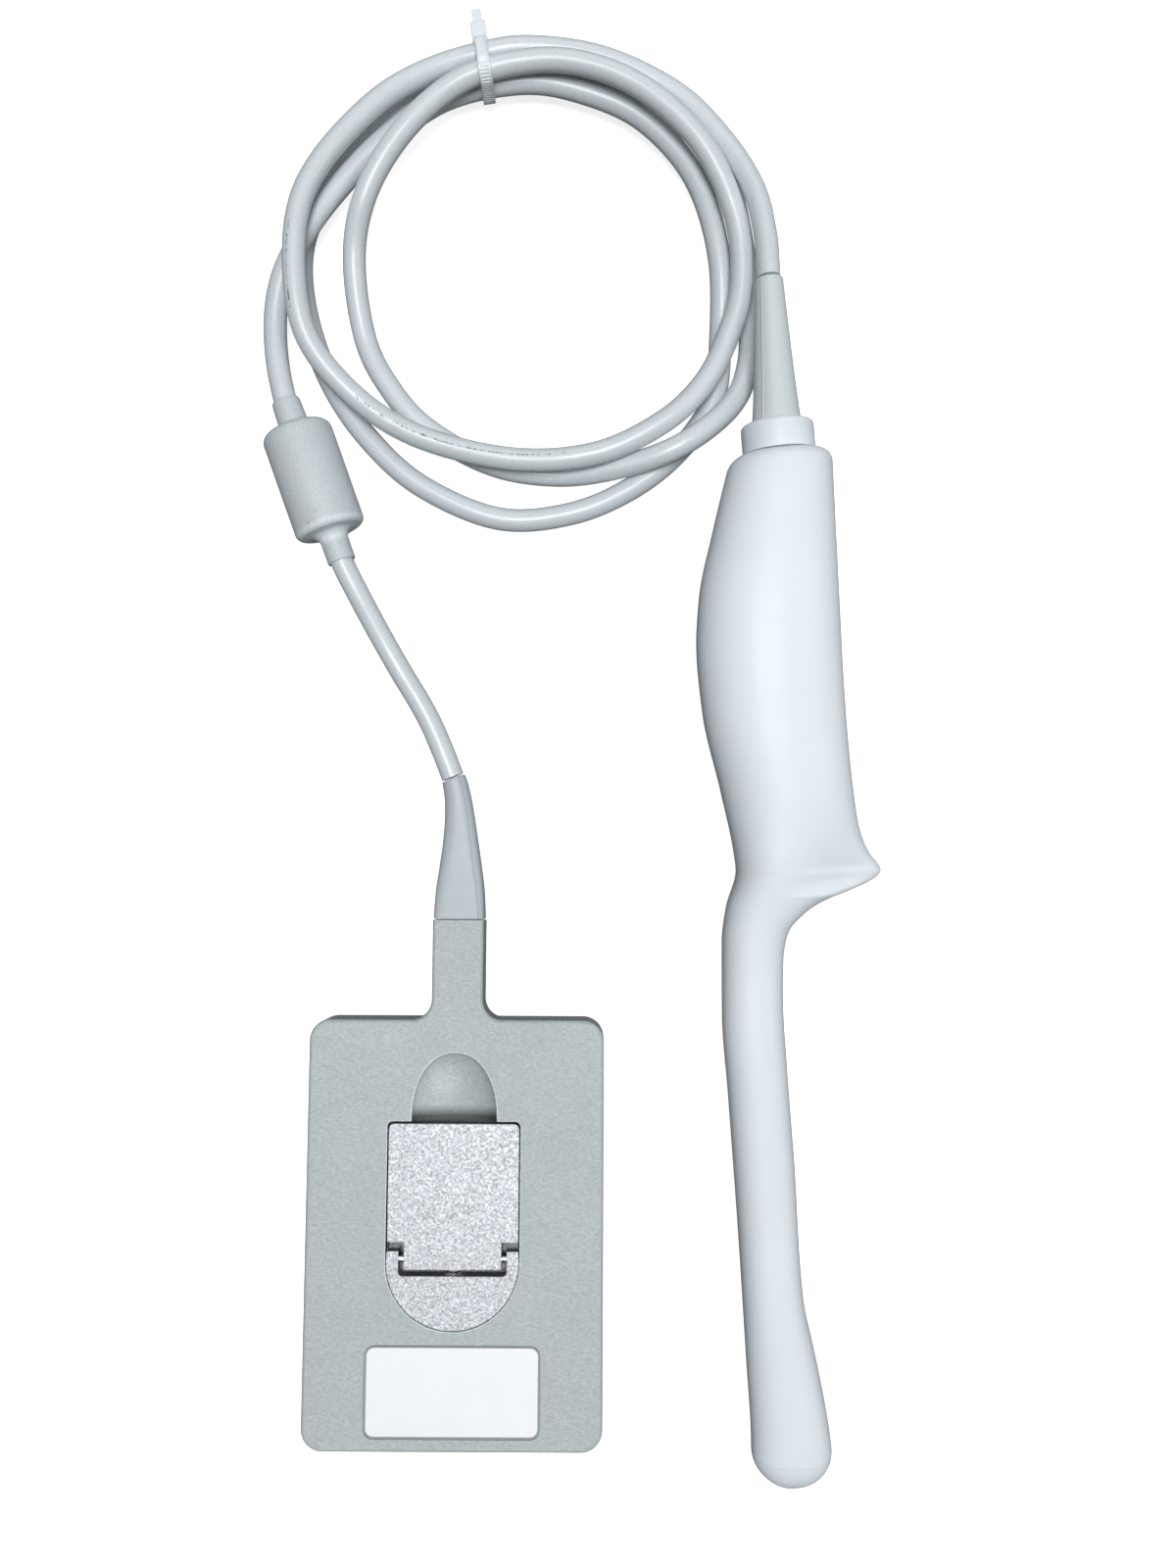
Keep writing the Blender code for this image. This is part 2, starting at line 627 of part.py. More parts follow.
def sector(inner_radius, outer_radius, steps=8):
    """Plan outline of a curved layer of the array, facing the tip."""
    angle = np.linspace(-ARRAY_HALF_ANGLE, ARRAY_HALF_ANGLE, steps + 1)
    outer = [(TIP_X + outer_radius * math.sin(a), TIP_ROUND - outer_radius * math.cos(a)) for a in angle]
    angle = angle[::-1]
    inner = [(TIP_X + inner_radius * math.sin(a), TIP_ROUND - inner_radius * math.cos(a)) for a in angle]
    return np.array(outer + inner)


def add_array(materials, parent):
    levels = (-ARRAY_HALF_HEIGHT, ARRAY_HALF_HEIGHT)
    piezo_inner = ARRAY_RADIUS - PIEZO_THICK
    matching_inner = ARRAY_RADIUS + FACE_GAP
    layers = (
        ("matching_layer", matching_inner, matching_inner + MATCHING_THICK, "amber_film"),
        ("piezo_array", piezo_inner, ARRAY_RADIUS, "ceramic_dark"),
    )
    for name, inner, outer, colour in layers:
        layer = stack([(sector(inner, outer), level) for level in levels])
        add_mesh(name, *layer, materials[colour], parent)
    backing_radius = piezo_inner - FACE_GAP
    angle = np.linspace(-ARRAY_HALF_ANGLE, ARRAY_HALF_ANGLE, 9)
    front = [(TIP_X + backing_radius * math.sin(a), TIP_ROUND - backing_radius * math.cos(a)) for a in angle]
    back = [(TIP_X + BACKING_WIDTH / 2, BACKING_END_V), (TIP_X - BACKING_WIDTH / 2, BACKING_END_V)]
    outline = np.array(front + back)
    block = stack([(outline, level) for level in levels])
    add_mesh("backing_block", *block, materials["black_plastic"], parent)


def add_flex_and_board(materials, parent):
    """The flexible circuit follows the middle of the shaft from the backing to the termination board."""
    v = np.linspace(BACKING_END_V + FACE_GAP, BOARD_START_V - FACE_GAP, 18)
    left, right, _ = cavity_edges(v)
    middle = 0.5 * (left + np.minimum(right, left + 2 * SPUR_CORE_REACH))
    half, thin = FLEX_WIDTH / 2, FLEX_THICK / 2
    rings = [
        np.array([(x - half, y, -thin), (x + half, y, -thin), (x + half, y, thin), (x - half, y, thin)])
        for x, y in zip(middle, v)
    ]
    add_mesh("flex_circuit", *loft(rings), materials["amber_film"], parent)
    outline = rectangle(BOARD_WIDTH, BOARD_LENGTH, 1.5, (BOARD_X, BOARD_START_V + BOARD_LENGTH / 2), 2)
    levels = [(outline, -BOARD_THICK / 2), (outline, BOARD_THICK / 2)]
    add_mesh("termination_board", *stack(levels), materials["board_green"], parent)


def add_cable_outlet(materials, parent):
    """Collar held between the shells, the seal and clamp in it, the coax core, and the tapered boot."""
    axis = (0.0, -SHOULDER_V, 0.0)
    start = SHOULDER_V + FACE_GAP
    top = start + COLLAR_LENGTH
    flange_top = SHOULDER_V - END_WALL - FACE_GAP
    flange_low = flange_top - COLLAR_FLANGE
    seal_radius = CORE_RADIUS + FACE_GAP
    bore_radius = seal_radius + SEAL_WALL + FACE_GAP
    seat = top - BOOT_SEAT_DEPTH
    seat_radius = BOOT_BASE_RADIUS + FACE_GAP
    profile = [
        (bore_radius, flange_low), (COLLAR_FLANGE_RADIUS, flange_low), (COLLAR_FLANGE_RADIUS, flange_top),
        (COLLAR_SPIGOT_RADIUS, flange_top), (COLLAR_SPIGOT_RADIUS, start), (COLLAR_RADIUS, start),
    ]
    profile += corner_arc(COLLAR_RADIUS - COLLAR_ROUND, top - COLLAR_ROUND, COLLAR_ROUND, 0, 90, 2)
    profile += [(seat_radius, top), (seat_radius, seat), (bore_radius, seat)]
    add_mesh("gland_collar", *turned(profile, 24), materials["handset_white"], parent, axis)

    seal_outer = seal_radius + SEAL_WALL
    seal = [(seal_radius, flange_low), (seal_outer, flange_low), (seal_outer, seat), (seal_radius, seat)]
    add_mesh("gland_seal", *turned(seal, 16), materials["black_plastic"], parent, axis)

    clamp_outer = seal_radius + CLAMP_WALL
    clamp_end = flange_low - CLAMP_TO_FLANGE
    clamp_start = clamp_end - CLAMP_LENGTH
    clamp = [(seal_radius, clamp_start), (clamp_outer, clamp_start), (clamp_outer, clamp_end),
             (seal_radius, clamp_end)]
    add_mesh("cable_clamp", *turned(clamp, 16), materials["steel"], parent, axis)

    boot_start = seat + FACE_GAP
    core_low, core_high = BOARD_START_V + BOARD_LENGTH + FACE_GAP, boot_start - FACE_GAP
    core = [(0.0, core_low), (CORE_RADIUS, core_low), (CORE_RADIUS, core_high), (0.0, core_high)]
    add_mesh("cable_core", *turned(core, 12), materials["steel"], parent, axis)

    add_mesh("handset_boot", *boot_rings(boot_start, top), materials["boot_grey"], parent, axis, sharp=60.0)


def boot_rings(start, top):
    """Boot sections: straight in the collar's seat, then tapering and leaning to the cable."""
    angle = np.arange(20) * 2 * math.pi / 20
    rings = []
    for v in (start, top - 0.8, *np.linspace(top + 0.4, top - 0.8 + BOOT_LENGTH, 8)):
        part = np.clip((v - top) / (BOOT_LENGTH - 0.8), 0.0, 1.0)
        radius = BOOT_BASE_RADIUS + (BOOT_END_RADIUS - BOOT_BASE_RADIUS) * part ** BOOT_TAPER_POWER
        x = BOOT_LEAN * part
        rings.append(np.column_stack([x + radius * np.cos(angle), np.full(20, v), radius * np.sin(angle)]))
    return loft(rings)


def add_handset(materials):
    tilt, height = handset_pose()
    frame = add_empty("handset", (0.0, TIP_Y, height), (tilt, 0.0, 0.0))
    add_shell("handset_shell_upper", 1.0, materials, frame)
    add_shell("handset_shell_lower", -1.0, materials, frame)
    add_lens(materials, frame)
    add_array(materials, frame)
    add_flex_and_board(materials, frame)
    outlet = add_empty("cable_outlet", (COLLAR_X, SHOULDER_V, 0.0), (0.0, 0.0, END_TURN), frame)
    add_cable_outlet(materials, outlet)


# Cable, tie and ferrite

def through_points(points, steps):
    """A smooth curve through the route's points, each stretch cut in steps."""
    points = np.array(points, float)
    padded = np.vstack([2 * points[0] - points[1], points, 2 * points[-1] - points[-2]])
    part = np.arange(steps)[:, None] / steps
    out = []
    for index in range(len(points) - 1):
        a, b, c, d = padded[index:index + 4]
        out.append(0.5 * (2 * b + (c - a) * part + (2 * a - 5 * b + 4 * c - d) * part ** 2
                          + (3 * b - a - 3 * c + d) * part ** 3))
    return np.vstack([*out, points[-1:]])


def add_cable(materials):
    """The cable as a round tube with one ring at each point of the route."""
    route = np.array(CABLE_ROUTE, float)
    dense = through_points(route, 20)
    keep = set(range(0, len(dense), 20))
    turn = np.array((math.cos(TIE_TURN), math.sin(TIE_TURN)))
    along = (dense[:, :2] - np.array(TIE_PLACE)) @ turn
    near_tie = np.abs((dense[:, :2] - np.array(TIE_PLACE)) @ np.array((-turn[1], turn[0]))) < 20.0
    for index in np.nonzero((along[:-1] * along[1:] <= 0) & near_tie[:-1])[0]:
        keep.discard(int(round(index / 20)) * 20 if abs(index - round(index / 20) * 20) < 6 else -1)
        keep.add(int(index))
    points = dense[sorted(keep)]
    curve = bpy.data.curves.new("cable", "CURVE")
    curve.dimensions = "3D"
    curve.bevel_depth = CABLE_RADIUS * MM
    curve.bevel_resolution = 2
    curve.render_resolution_u = 0
    curve.use_fill_caps = True
    spline = curve.splines.new("POLY")
    spline.points.add(len(points) - 1)
    for point, place in zip(spline.points, points * MM):
        point.co = (*place, 1.0)
    curve.materials.append(materials["cable_grey"])
    bpy.context.collection.objects.link(bpy.data.objects.new("cable", curve))


def wrap(centres, radius, steps=4):
    """Outline of a band pulled tight round circles of one radius, given in turning order."""
    centres = np.array(centres, float)
    out = []
    for index in range(len(centres)):
        into = centres[index] - centres[index - 1]
        away = centres[(index + 1) % len(centres)] - centres[index]
        first = math.atan2(into[1], into[0]) - math.pi / 2
        last = math.atan2(away[1], away[0]) - math.pi / 2
        sweep = (last - first + math.pi) % (2 * math.pi) - math.pi
        for part in np.linspace(0.0, 1.0, steps + 1):
            angle = first + part * sweep
            out.append(centres[index] + radius * np.array((math.cos(angle), math.sin(angle))))
    return np.array(out)


def add_cable_tie(materials):
    """A nylon tie: a flat band pulled round the four runs, with its square head and cut tail outside."""
    frame = add_empty("tie_frame", (*TIE_PLACE, 0.0), (0.0, 0.0, TIE_TURN))
    inner = wrap(TIE_STRANDS, CABLE_RADIUS + TIE_GAP)
    outer = wrap(TIE_STRANDS, CABLE_RADIUS + TIE_GAP + TIE_THICK)
    count = len(inner)
    half = TIE_WIDTH / 2
    rows = [(outer, -half), (outer, half), (inner, half), (inner, -half)]
    points = np.concatenate([np.column_stack([np.full(count, x), loop]) for loop, x in rows])
    faces = [
        (row * count + index, row * count + (index + 1) % count,
         (row + 1) % 4 * count + (index + 1) % count, (row + 1) % 4 * count + index)
        for row in range(4) for index in range(count)
    ]
    tie = add_mesh("cable_tie", points, faces, materials["tie_nylon"], frame)
    side = max(point[0] for point in TIE_STRANDS) + CABLE_RADIUS + TIE_GAP
    width, reach, height = TIE_HEAD
    head_outline = rectangle(width, reach, 0.6, (0.0, side + 0.3 + reach / 2), 2)
    head = add_mesh("tie_head_shape", *stack([(head_outline, TIE_HEAD_HEIGHT - height / 2),
                                              (head_outline, TIE_HEAD_HEIGHT + height / 2)]), None, frame)
    cut(tie, head, "UNION")
    tail_outline = rectangle(TIE_WIDTH * 0.8, TIE_TAIL_LENGTH + 2.0, 0.4,
                             (0.0, side + reach + TIE_TAIL_LENGTH / 2 - 1.0), 2)
    tail_z = TIE_HEAD_HEIGHT + 0.2
    tail_shape = stack([(tail_outline, tail_z), (tail_outline, tail_z + TIE_THICK)])
    tail = add_mesh("tie_tail_shape", *tail_shape, None, frame)
    cut(tie, tail, "UNION")


def add_ferrite(materials):
    """A ferrite ring over the cable, moulded into a rubber body with a cuff at each end."""
    top, bottom = np.array(FERRITE_TOP), np.array(FERRITE_BOTTOM)
    length = float(np.linalg.norm(bottom - top))
    turn = math.atan2(bottom[1] - top[1], bottom[0] - top[0]) - math.pi / 2
    frame = add_empty("ferrite_frame", (*FERRITE_TOP, FERRITE_RADIUS), (0.0, 0.0, turn))
    start, end = FERRITE_START, FERRITE_START + FERRITE_BODY
    ring_radius = FERRITE_RADIUS - FERRITE_WALL
    cavity_start, cavity_end = start + FERRITE_END_WALL, end - FERRITE_END_WALL
    outer = list(zip(FERRITE_CUFF_RADII, (FACE_GAP, FACE_GAP + 0.8, start)))
    top, low = FERRITE_TOP_ROUND, FERRITE_LOW_ROUND
    outer += corner_arc(FERRITE_RADIUS - top, start + top, top, -90, 0, 3)
    outer += corner_arc(FERRITE_RADIUS - low, end - low, low, 0, 90, 3)
    outer += [(FERRITE_FLARE_RADIUS, end + 0.7), (FERRITE_NECK_RADIUS, end + 2.4)]
    outer.append((FERRITE_NECK_RADIUS, length))
    bore = [(FERRITE_BORE_RADIUS, length), (FERRITE_BORE_RADIUS, cavity_end), (ring_radius, cavity_end),
            (ring_radius, cavity_start), (FERRITE_BORE_RADIUS, cavity_start), (FERRITE_BORE_RADIUS, FACE_GAP)]
    add_mesh("ferrite_overmould", *turned(outer + bore, 20), materials["boot_grey"], frame)
    core_outer = ring_radius - FACE_GAP
    core_start, core_end = cavity_start + FACE_GAP, cavity_end - FACE_GAP
    core = [(CORE_BORE_RADIUS, core_start), (core_outer, core_start), (core_outer, core_end),
            (CORE_BORE_RADIUS, core_end)]
    add_mesh("ferrite_core", *turned(core, 20), materials["ceramic_dark"], frame)


# Connector

def connector_pose():
    """Tilt and height of the case: it rests on its front lower edge and on the spindle's foot."""
    edge_y = CASE_LENGTH / 2 - BASE_EDGE
    foot_y = LATCH_Y + FOOT_RADIUS
    tilt = math.atan(FOOT_PROUD / (edge_y - foot_y))
    return -tilt, edge_y * math.sin(tilt)


def case_outline(inset, with_neck):
    """Plan outline of the case, moved inwards by inset."""
    x, y = CASE_WIDTH / 2 - inset, CASE_LENGTH / 2 - inset
    neck, end = NECK_WIDTH / 2 - inset, CASE_LENGTH / 2 + NECK_LENGTH
    corner, root = CASE_CORNER - inset, NECK_ROOT + inset
    corners = [(-x, -y, corner), (x, -y, corner), (x, y, corner)]
    if with_neck:
        corners += [(neck, y, root), (neck, end, 0.0), (-neck, end, 0.0), (-neck, y, root)]
    corners += [(-x, y, corner)]
    return rounded_outline(corners)


def rounded_rim(with_neck, low, high, low_edge, high_edge):
    """Levels of a case half: a chamfer at one rim and a quarter round at the other."""
    levels = []
    for part in (0.0, 1.0):
        angle = part * math.pi / 2
        outline = case_outline(low_edge * (1 - math.sin(angle)), with_neck)
        levels.append((outline, low + low_edge * (1 - math.cos(angle))))
    for part in np.linspace(0.0, 1.0, 3):
        angle = part * math.pi / 2
        outline = case_outline(high_edge * (1 - math.cos(angle)), with_neck)
        levels.append((outline, high - high_edge * (1 - math.sin(angle))))
    return levels


def add_cutter(name, outline, low, high, parent):
    return add_mesh(name, *stack([(outline, low), (outline, high)]), None, parent)


def add_rod(name, radius, start, end, parent, material=None, sides=20):
    """A plain rod along the frame's own y, from one (x, y, z) point to a y."""
    x, y, z = start
    rod = [(0.0, y), (radius, y), (radius, end), (0.0, end)]
    return add_mesh(name, *turned(rod, sides), material, parent, (x, 0.0, z))


def add_cover(materials, parent):
    """Upper case half with the latch well, thumb scoop, label recess, hollow and half the cable channel."""
    low = SPLIT_Z + SPLIT_GAP / 2
    levels = rounded_rim(True, low, CASE_HEIGHT, PARTING_CHAMFER, CASE_EDGE)
    cover = add_mesh("connector_cover", *stack(levels), materials["case_grey"], parent)
    above = CASE_HEIGHT + 2.0
    below = low - 1.0

    pocket_size = (CASE_WIDTH - 2 * CASE_WALL, CASE_LENGTH - 2 * CASE_WALL)
    pocket_outline = rectangle(*pocket_size, POCKET_CORNER)
    pocket = add_cutter("cover_pocket", pocket_outline, below, CASE_HEIGHT - CASE_WALL, parent)
    island_side = LATCH_RADIUS + 2.0
    island_top = LATCH_Y + LEVER_LENGTH + SCOOP_LENGTH + ISLAND_RIM
    island_low = LATCH_Y - island_side
    island_outline = rectangle(2 * island_side, island_top - island_low, island_side - 1.0,
                               (LATCH_X, (island_top + island_low) / 2), 10)
    cut(pocket, add_cutter("cover_island", island_outline, below - 1.0, above, parent))
    cut(cover, pocket)

    well = circle(LATCH_RADIUS, (LATCH_X, LATCH_Y), 48)
    cut(cover, add_cutter("rotor_well", well, WELL_FLOOR_Z, above, parent))
    shelf_top = LATCH_Y + LEVER_LENGTH + LATCH_GAP + SHELF_END_GAP
    side = LATCH_RADIUS
    left, right = LATCH_X - side, LATCH_X + side
    shelf = rounded_outline([(left, LATCH_Y, 0.0), (right, LATCH_Y, 0.0), (right, shelf_top, LEVER_CORNER),
                             (left, shelf_top, LEVER_CORNER)], 4)
    shelf_floor = LATCH_TOP_Z - LEVER_THICK - SHELF_FLOOR_GAP
    cut(cover, add_cutter("lever_shelf", shelf, shelf_floor, above, parent))
    scoop_y = shelf_top - SCOOP_UNDER_SHELF
    cut(cover, add_scoop_cutter(scoop_y, parent))

    label = rectangle(*LABEL_SIZE, LABEL_CORNER, (0.0, LABEL_CENTRE_Y), 4)
    cut(cover, add_cutter("label_recess", label, CASE_HEIGHT - LABEL_RECESS, above, parent))
    spindle = circle(SPINDLE_RADIUS + FACE_GAP, (LATCH_X, LATCH_Y), 28)
    cut(cover, add_cutter("spindle_hole", spindle, below, WELL_FLOOR_Z + 1.0, parent))
    channel = add_channel_cutter(parent)
    cut(cover, channel)
    for number, (x, y) in enumerate(screw_places(), 1):
        hole = circle(SCREW_SHANK_RADIUS + FACE_GAP, (x, y), 12)
        top = SCREW_SINK + SCREW_LENGTH + FACE_GAP
        cut(cover, add_cutter(f"screw_hole_{number}", hole, below, top, parent))
    return channel


def add_scoop_cutter(scoop_y, parent):
    """A bowl with a superellipse as its plan, widest at the case's top face, with a plain top above."""
    around = np.arange(SCOOP_SIDES) * 2 * math.pi / SCOOP_SIDES
    power = 2.0 / SCOOP_SQUARENESS
    across = SCOOP_HALF_WIDTH * np.sign(np.cos(around)) * np.abs(np.cos(around)) ** power
    along = SCOOP_LENGTH * np.sign(np.sin(around)) * np.abs(np.sin(around)) ** power
    falls = np.radians((12.0, 35.0, 57.0, 75.0, 90.0))
    levels = [(math.sin(fall), -SCOOP_DEPTH * math.cos(fall)) for fall in falls]
    levels.append((1.0, SCOOP_DEPTH))
    outlines = [(np.column_stack([share * across, share * along]), height) for share, height in levels]
    return add_mesh("thumb_scoop", *stack(outlines), None, parent, (LATCH_X, scoop_y, CASE_HEIGHT))


def add_channel_cutter(parent):
    middle = (NECK_BOTTOM_Z + CASE_HEIGHT) / 2
    start = CASE_LENGTH / 2 - CASE_WALL - 2.0
    end = CASE_LENGTH / 2 + NECK_LENGTH + 2.0
    return add_rod("cable_channel", CHANNEL_RADIUS, (0.0, start, middle), end, parent)


def screw_places():
    x, y = SCREW_PLACE
    return ((-x, -y), (x, -y), (x, y), (-x, y))


def add_base(channel, materials, parent):
    """Lower case half: half the neck, board pocket, shallow underside recess and the contact window."""
    high = SPLIT_Z - SPLIT_GAP / 2
    levels = rounded_rim(False, 0.0, high, BASE_EDGE, PARTING_CHAMFER)
    base = add_mesh("connector_base", *stack(levels), materials["case_grey"], parent)
    edge, end = CASE_LENGTH / 2, CASE_LENGTH / 2 + NECK_LENGTH
    neck = NECK_WIDTH / 2
    inside = edge - CASE_CORNER
    wide = neck + NECK_ROOT + NECK_OVERLAP
    neck_outline = rounded_outline([
        (-wide, inside, 0.0), (wide, inside, 0.0), (wide, edge - 0.1, 0.0), (neck, edge - 0.1, NECK_ROOT),
        (neck, end, 0.0), (-neck, end, 0.0), (-neck, edge - 0.1, NECK_ROOT), (-wide, edge - 0.1, 0.0),
    ])
    cut(base, add_cutter("base_neck", neck_outline, NECK_BOTTOM_Z, high - PARTING_CHAMFER, parent), "UNION")
    pocket_size = (CASE_WIDTH - 2 * CASE_WALL, CASE_LENGTH - 2 * CASE_WALL)
    pocket = rectangle(*pocket_size, POCKET_CORNER)
    cut(base, add_cutter("base_pocket", pocket, BASE_FLOOR, high + 2.0, parent))
    under = rectangle(*UNDER_RECESS, UNDER_RECESS_CORNER, (LATCH_X, LATCH_Y), 4)
    cut(base, add_cutter("under_recess", under, -2.0, UNDER_RECESS_DEPTH, parent))
    window = rectangle(*CONTACT_WINDOW, WINDOW_CORNER, (LATCH_X, LATCH_Y), 3)
    cut(base, add_cutter("contact_window", window, -3.0, high + 3.0, parent))
    cut(base, channel)
    for number, (x, y) in enumerate(screw_places(), 1):
        head = circle(SCREW_HEAD_RADIUS + FACE_GAP, (x, y), 16)
        shank = circle(SCREW_SHANK_RADIUS + FACE_GAP, (x, y), 12)
        seat = SCREW_SINK + SCREW_HEAD_HEIGHT + FACE_GAP
        cut(base, add_cutter(f"head_hole_{number}", head, -2.0, seat, parent))
        cut(base, add_cutter(f"shank_hole_{number}", shank, 0.5, high + 2.0, parent))


def add_screws(materials, parent):
    for number, (x, y) in enumerate(screw_places(), 1):
        head_top = SCREW_SINK + SCREW_HEAD_HEIGHT
        tip = SCREW_SINK + SCREW_LENGTH
        profile = [
            (0.0, SCREW_SINK), (SCREW_HEAD_RADIUS - SCREW_BEVEL, SCREW_SINK),
            (SCREW_HEAD_RADIUS, SCREW_SINK + SCREW_BEVEL), (SCREW_HEAD_RADIUS, head_top),
            (SCREW_SHANK_RADIUS, head_top), (SCREW_SHANK_RADIUS, tip), (0.0, tip),
        ]
        points, faces = turned(profile, 10)
        add_mesh(f"case_screw_{number}", upright(points), faces, materials["steel"], parent, (x, y, 0.0))


def add_boards(materials, parent):
    """Contact block in its window, two pad arrays under it, and the board, shield and wire header over it."""
    centre = (LATCH_X, LATCH_Y)
    hole_radius = SPINDLE_RADIUS + SPINDLE_CLEARANCE
    block_size = [size - 2 * FACE_GAP for size in CONTACT_WINDOW]
    block_high = BASE_FLOOR
    block_low = block_high - BLOCK_THICK
    block_outline = rectangle(*block_size, WINDOW_CORNER - FACE_GAP, centre, 3)
    block = add_cutter("contact_block", block_outline, block_low, block_high, parent)
    block.data.materials.append(materials["black_plastic"])
    hole = circle(hole_radius, centre, 24)
    cut(block, add_cutter("block_hole", hole, block_low - 1, block_high + 1, parent))
    array_offset = (hole_radius + block_size[1] / 2) / 2
    for name, side in (("contact_array_front", 1), ("contact_array_rear", -1)):
        place = (LATCH_X, LATCH_Y + side * array_offset, block_low - FACE_GAP)
        add_pad_array(name, place, materials, parent)

    board_low = BASE_FLOOR + BOARD_GAP
    board_high = board_low + CONNECTOR_BOARD_THICK
    board_width = CASE_WIDTH - 2 * CASE_WALL - 2.0
    board_length = CASE_LENGTH - 2 * CASE_WALL - 2.0
    board_outline = rectangle(board_width, board_length, POCKET_CORNER - 1.0, (0.0, 0.0), 4)
    board = add_cutter("connector_board", board_outline, board_low, board_high, parent)
    board.data.materials.append(materials["board_green"])
    board_hole = circle(CIRCLIP_RADIUS + 1.4, centre, 24)
    cut(board, add_cutter("board_hole", board_hole, board_low - 1, board_high + 1, parent))

    header_width, header_depth, header_height = HEADER
    header_y = board_length / 2 - header_depth / 2
    shield_high_y = header_y - header_depth / 2 - 1.0
    shield_low = board_high + FACE_GAP
    shield_length = shield_high_y + board_length / 2
    shield_outline = rectangle(board_width, shield_length, POCKET_CORNER - 1.0,
                               (0.0, shield_high_y - shield_length / 2), 4)
    shield = add_cutter("connector_shield", shield_outline, shield_low, shield_low + SHIELD_THICK, parent)
    shield.data.materials.append(materials["steel"])
    cut(shield, add_cutter("shield_hole", board_hole, shield_low - 1, shield_low + 2, parent))
    header_outline = rectangle(header_width, header_depth, 0.5, (0.0, header_y), 2)
    header = add_cutter("wire_header", header_outline, shield_low, shield_low + header_height, parent)
    header.data.materials.append(materials["black_plastic"])

    neck_end = CASE_LENGTH / 2 + NECK_LENGTH
    middle = (NECK_BOTTOM_Z + CASE_HEIGHT) / 2
    core_start = (0.0, header_y + header_depth / 2 + FACE_GAP, middle)
    add_rod("lead_core", CORE_RADIUS, core_start, neck_end, parent, materials["steel"], 12)
    ferrule_inner = CORE_RADIUS + FACE_GAP
    ferrule_low = CASE_LENGTH / 2 + FERRULE_START
    ferrule_high = ferrule_low + FERRULE_LENGTH
    ferrule = [(ferrule_inner, ferrule_low), (ferrule_inner + FERRULE_WALL, ferrule_low),
               (ferrule_inner + FERRULE_WALL, ferrule_high), (ferrule_inner, ferrule_high)]
    add_mesh("boot_ferrule", *turned(ferrule, 16), materials["steel"], parent, (0.0, 0.0, middle))


def add_pad_array(name, place, materials, parent):
    """A flat plate with a raised grid of square contact pads on its lower face."""
    width, length = PAD_COLUMNS * PAD_PITCH, PAD_ROWS * PAD_PITCH
    build = bmesh.new()
    bmesh.ops.create_grid(build, x_segments=PAD_COLUMNS, y_segments=PAD_ROWS, size=0.5)
    for vertex in build.verts:
        vertex.co.x *= width * MM
        vertex.co.y *= length * MM
    lower = list(build.faces)
    bmesh.ops.reverse_faces(build, faces=lower)
    border = [edge for edge in build.edges if edge.is_boundary]
    raised = bmesh.ops.extrude_edge_only(build, edges=border)["geom"]
    rim = [item for item in raised if isinstance(item, bmesh.types.BMVert)]
    for vertex in rim:
        vertex.co.z += PAD_PLATE * MM
    bmesh.ops.contextual_create(build, geom=[e for e in build.edges if e.is_boundary])
    bmesh.ops.inset_individual(build, faces=lower, thickness=(PAD_PITCH - PAD_SIZE) / 2 * MM, depth=0.0)
    pads = bmesh.ops.extrude_discrete_faces(build, faces=lower)["faces"]
    for pad in pads:
        for vertex in pad.verts:
            vertex.co.z -= PAD_HEIGHT * MM
    bmesh.ops.remove_doubles(build, verts=build.verts, dist=1e-7)
    bmesh.ops.recalc_face_normals(build, faces=build.faces)
    mesh = bpy.data.meshes.new(name)
    build.to_mesh(mesh)
    build.free()
    mesh.materials.append(materials["brass"])
    made = bpy.data.objects.new(name, mesh)
    bpy.context.collection.objects.link(made)
    made.location = [place[0] * MM, place[1] * MM, (place[2] - PAD_PLATE) * MM]
    made.parent = parent


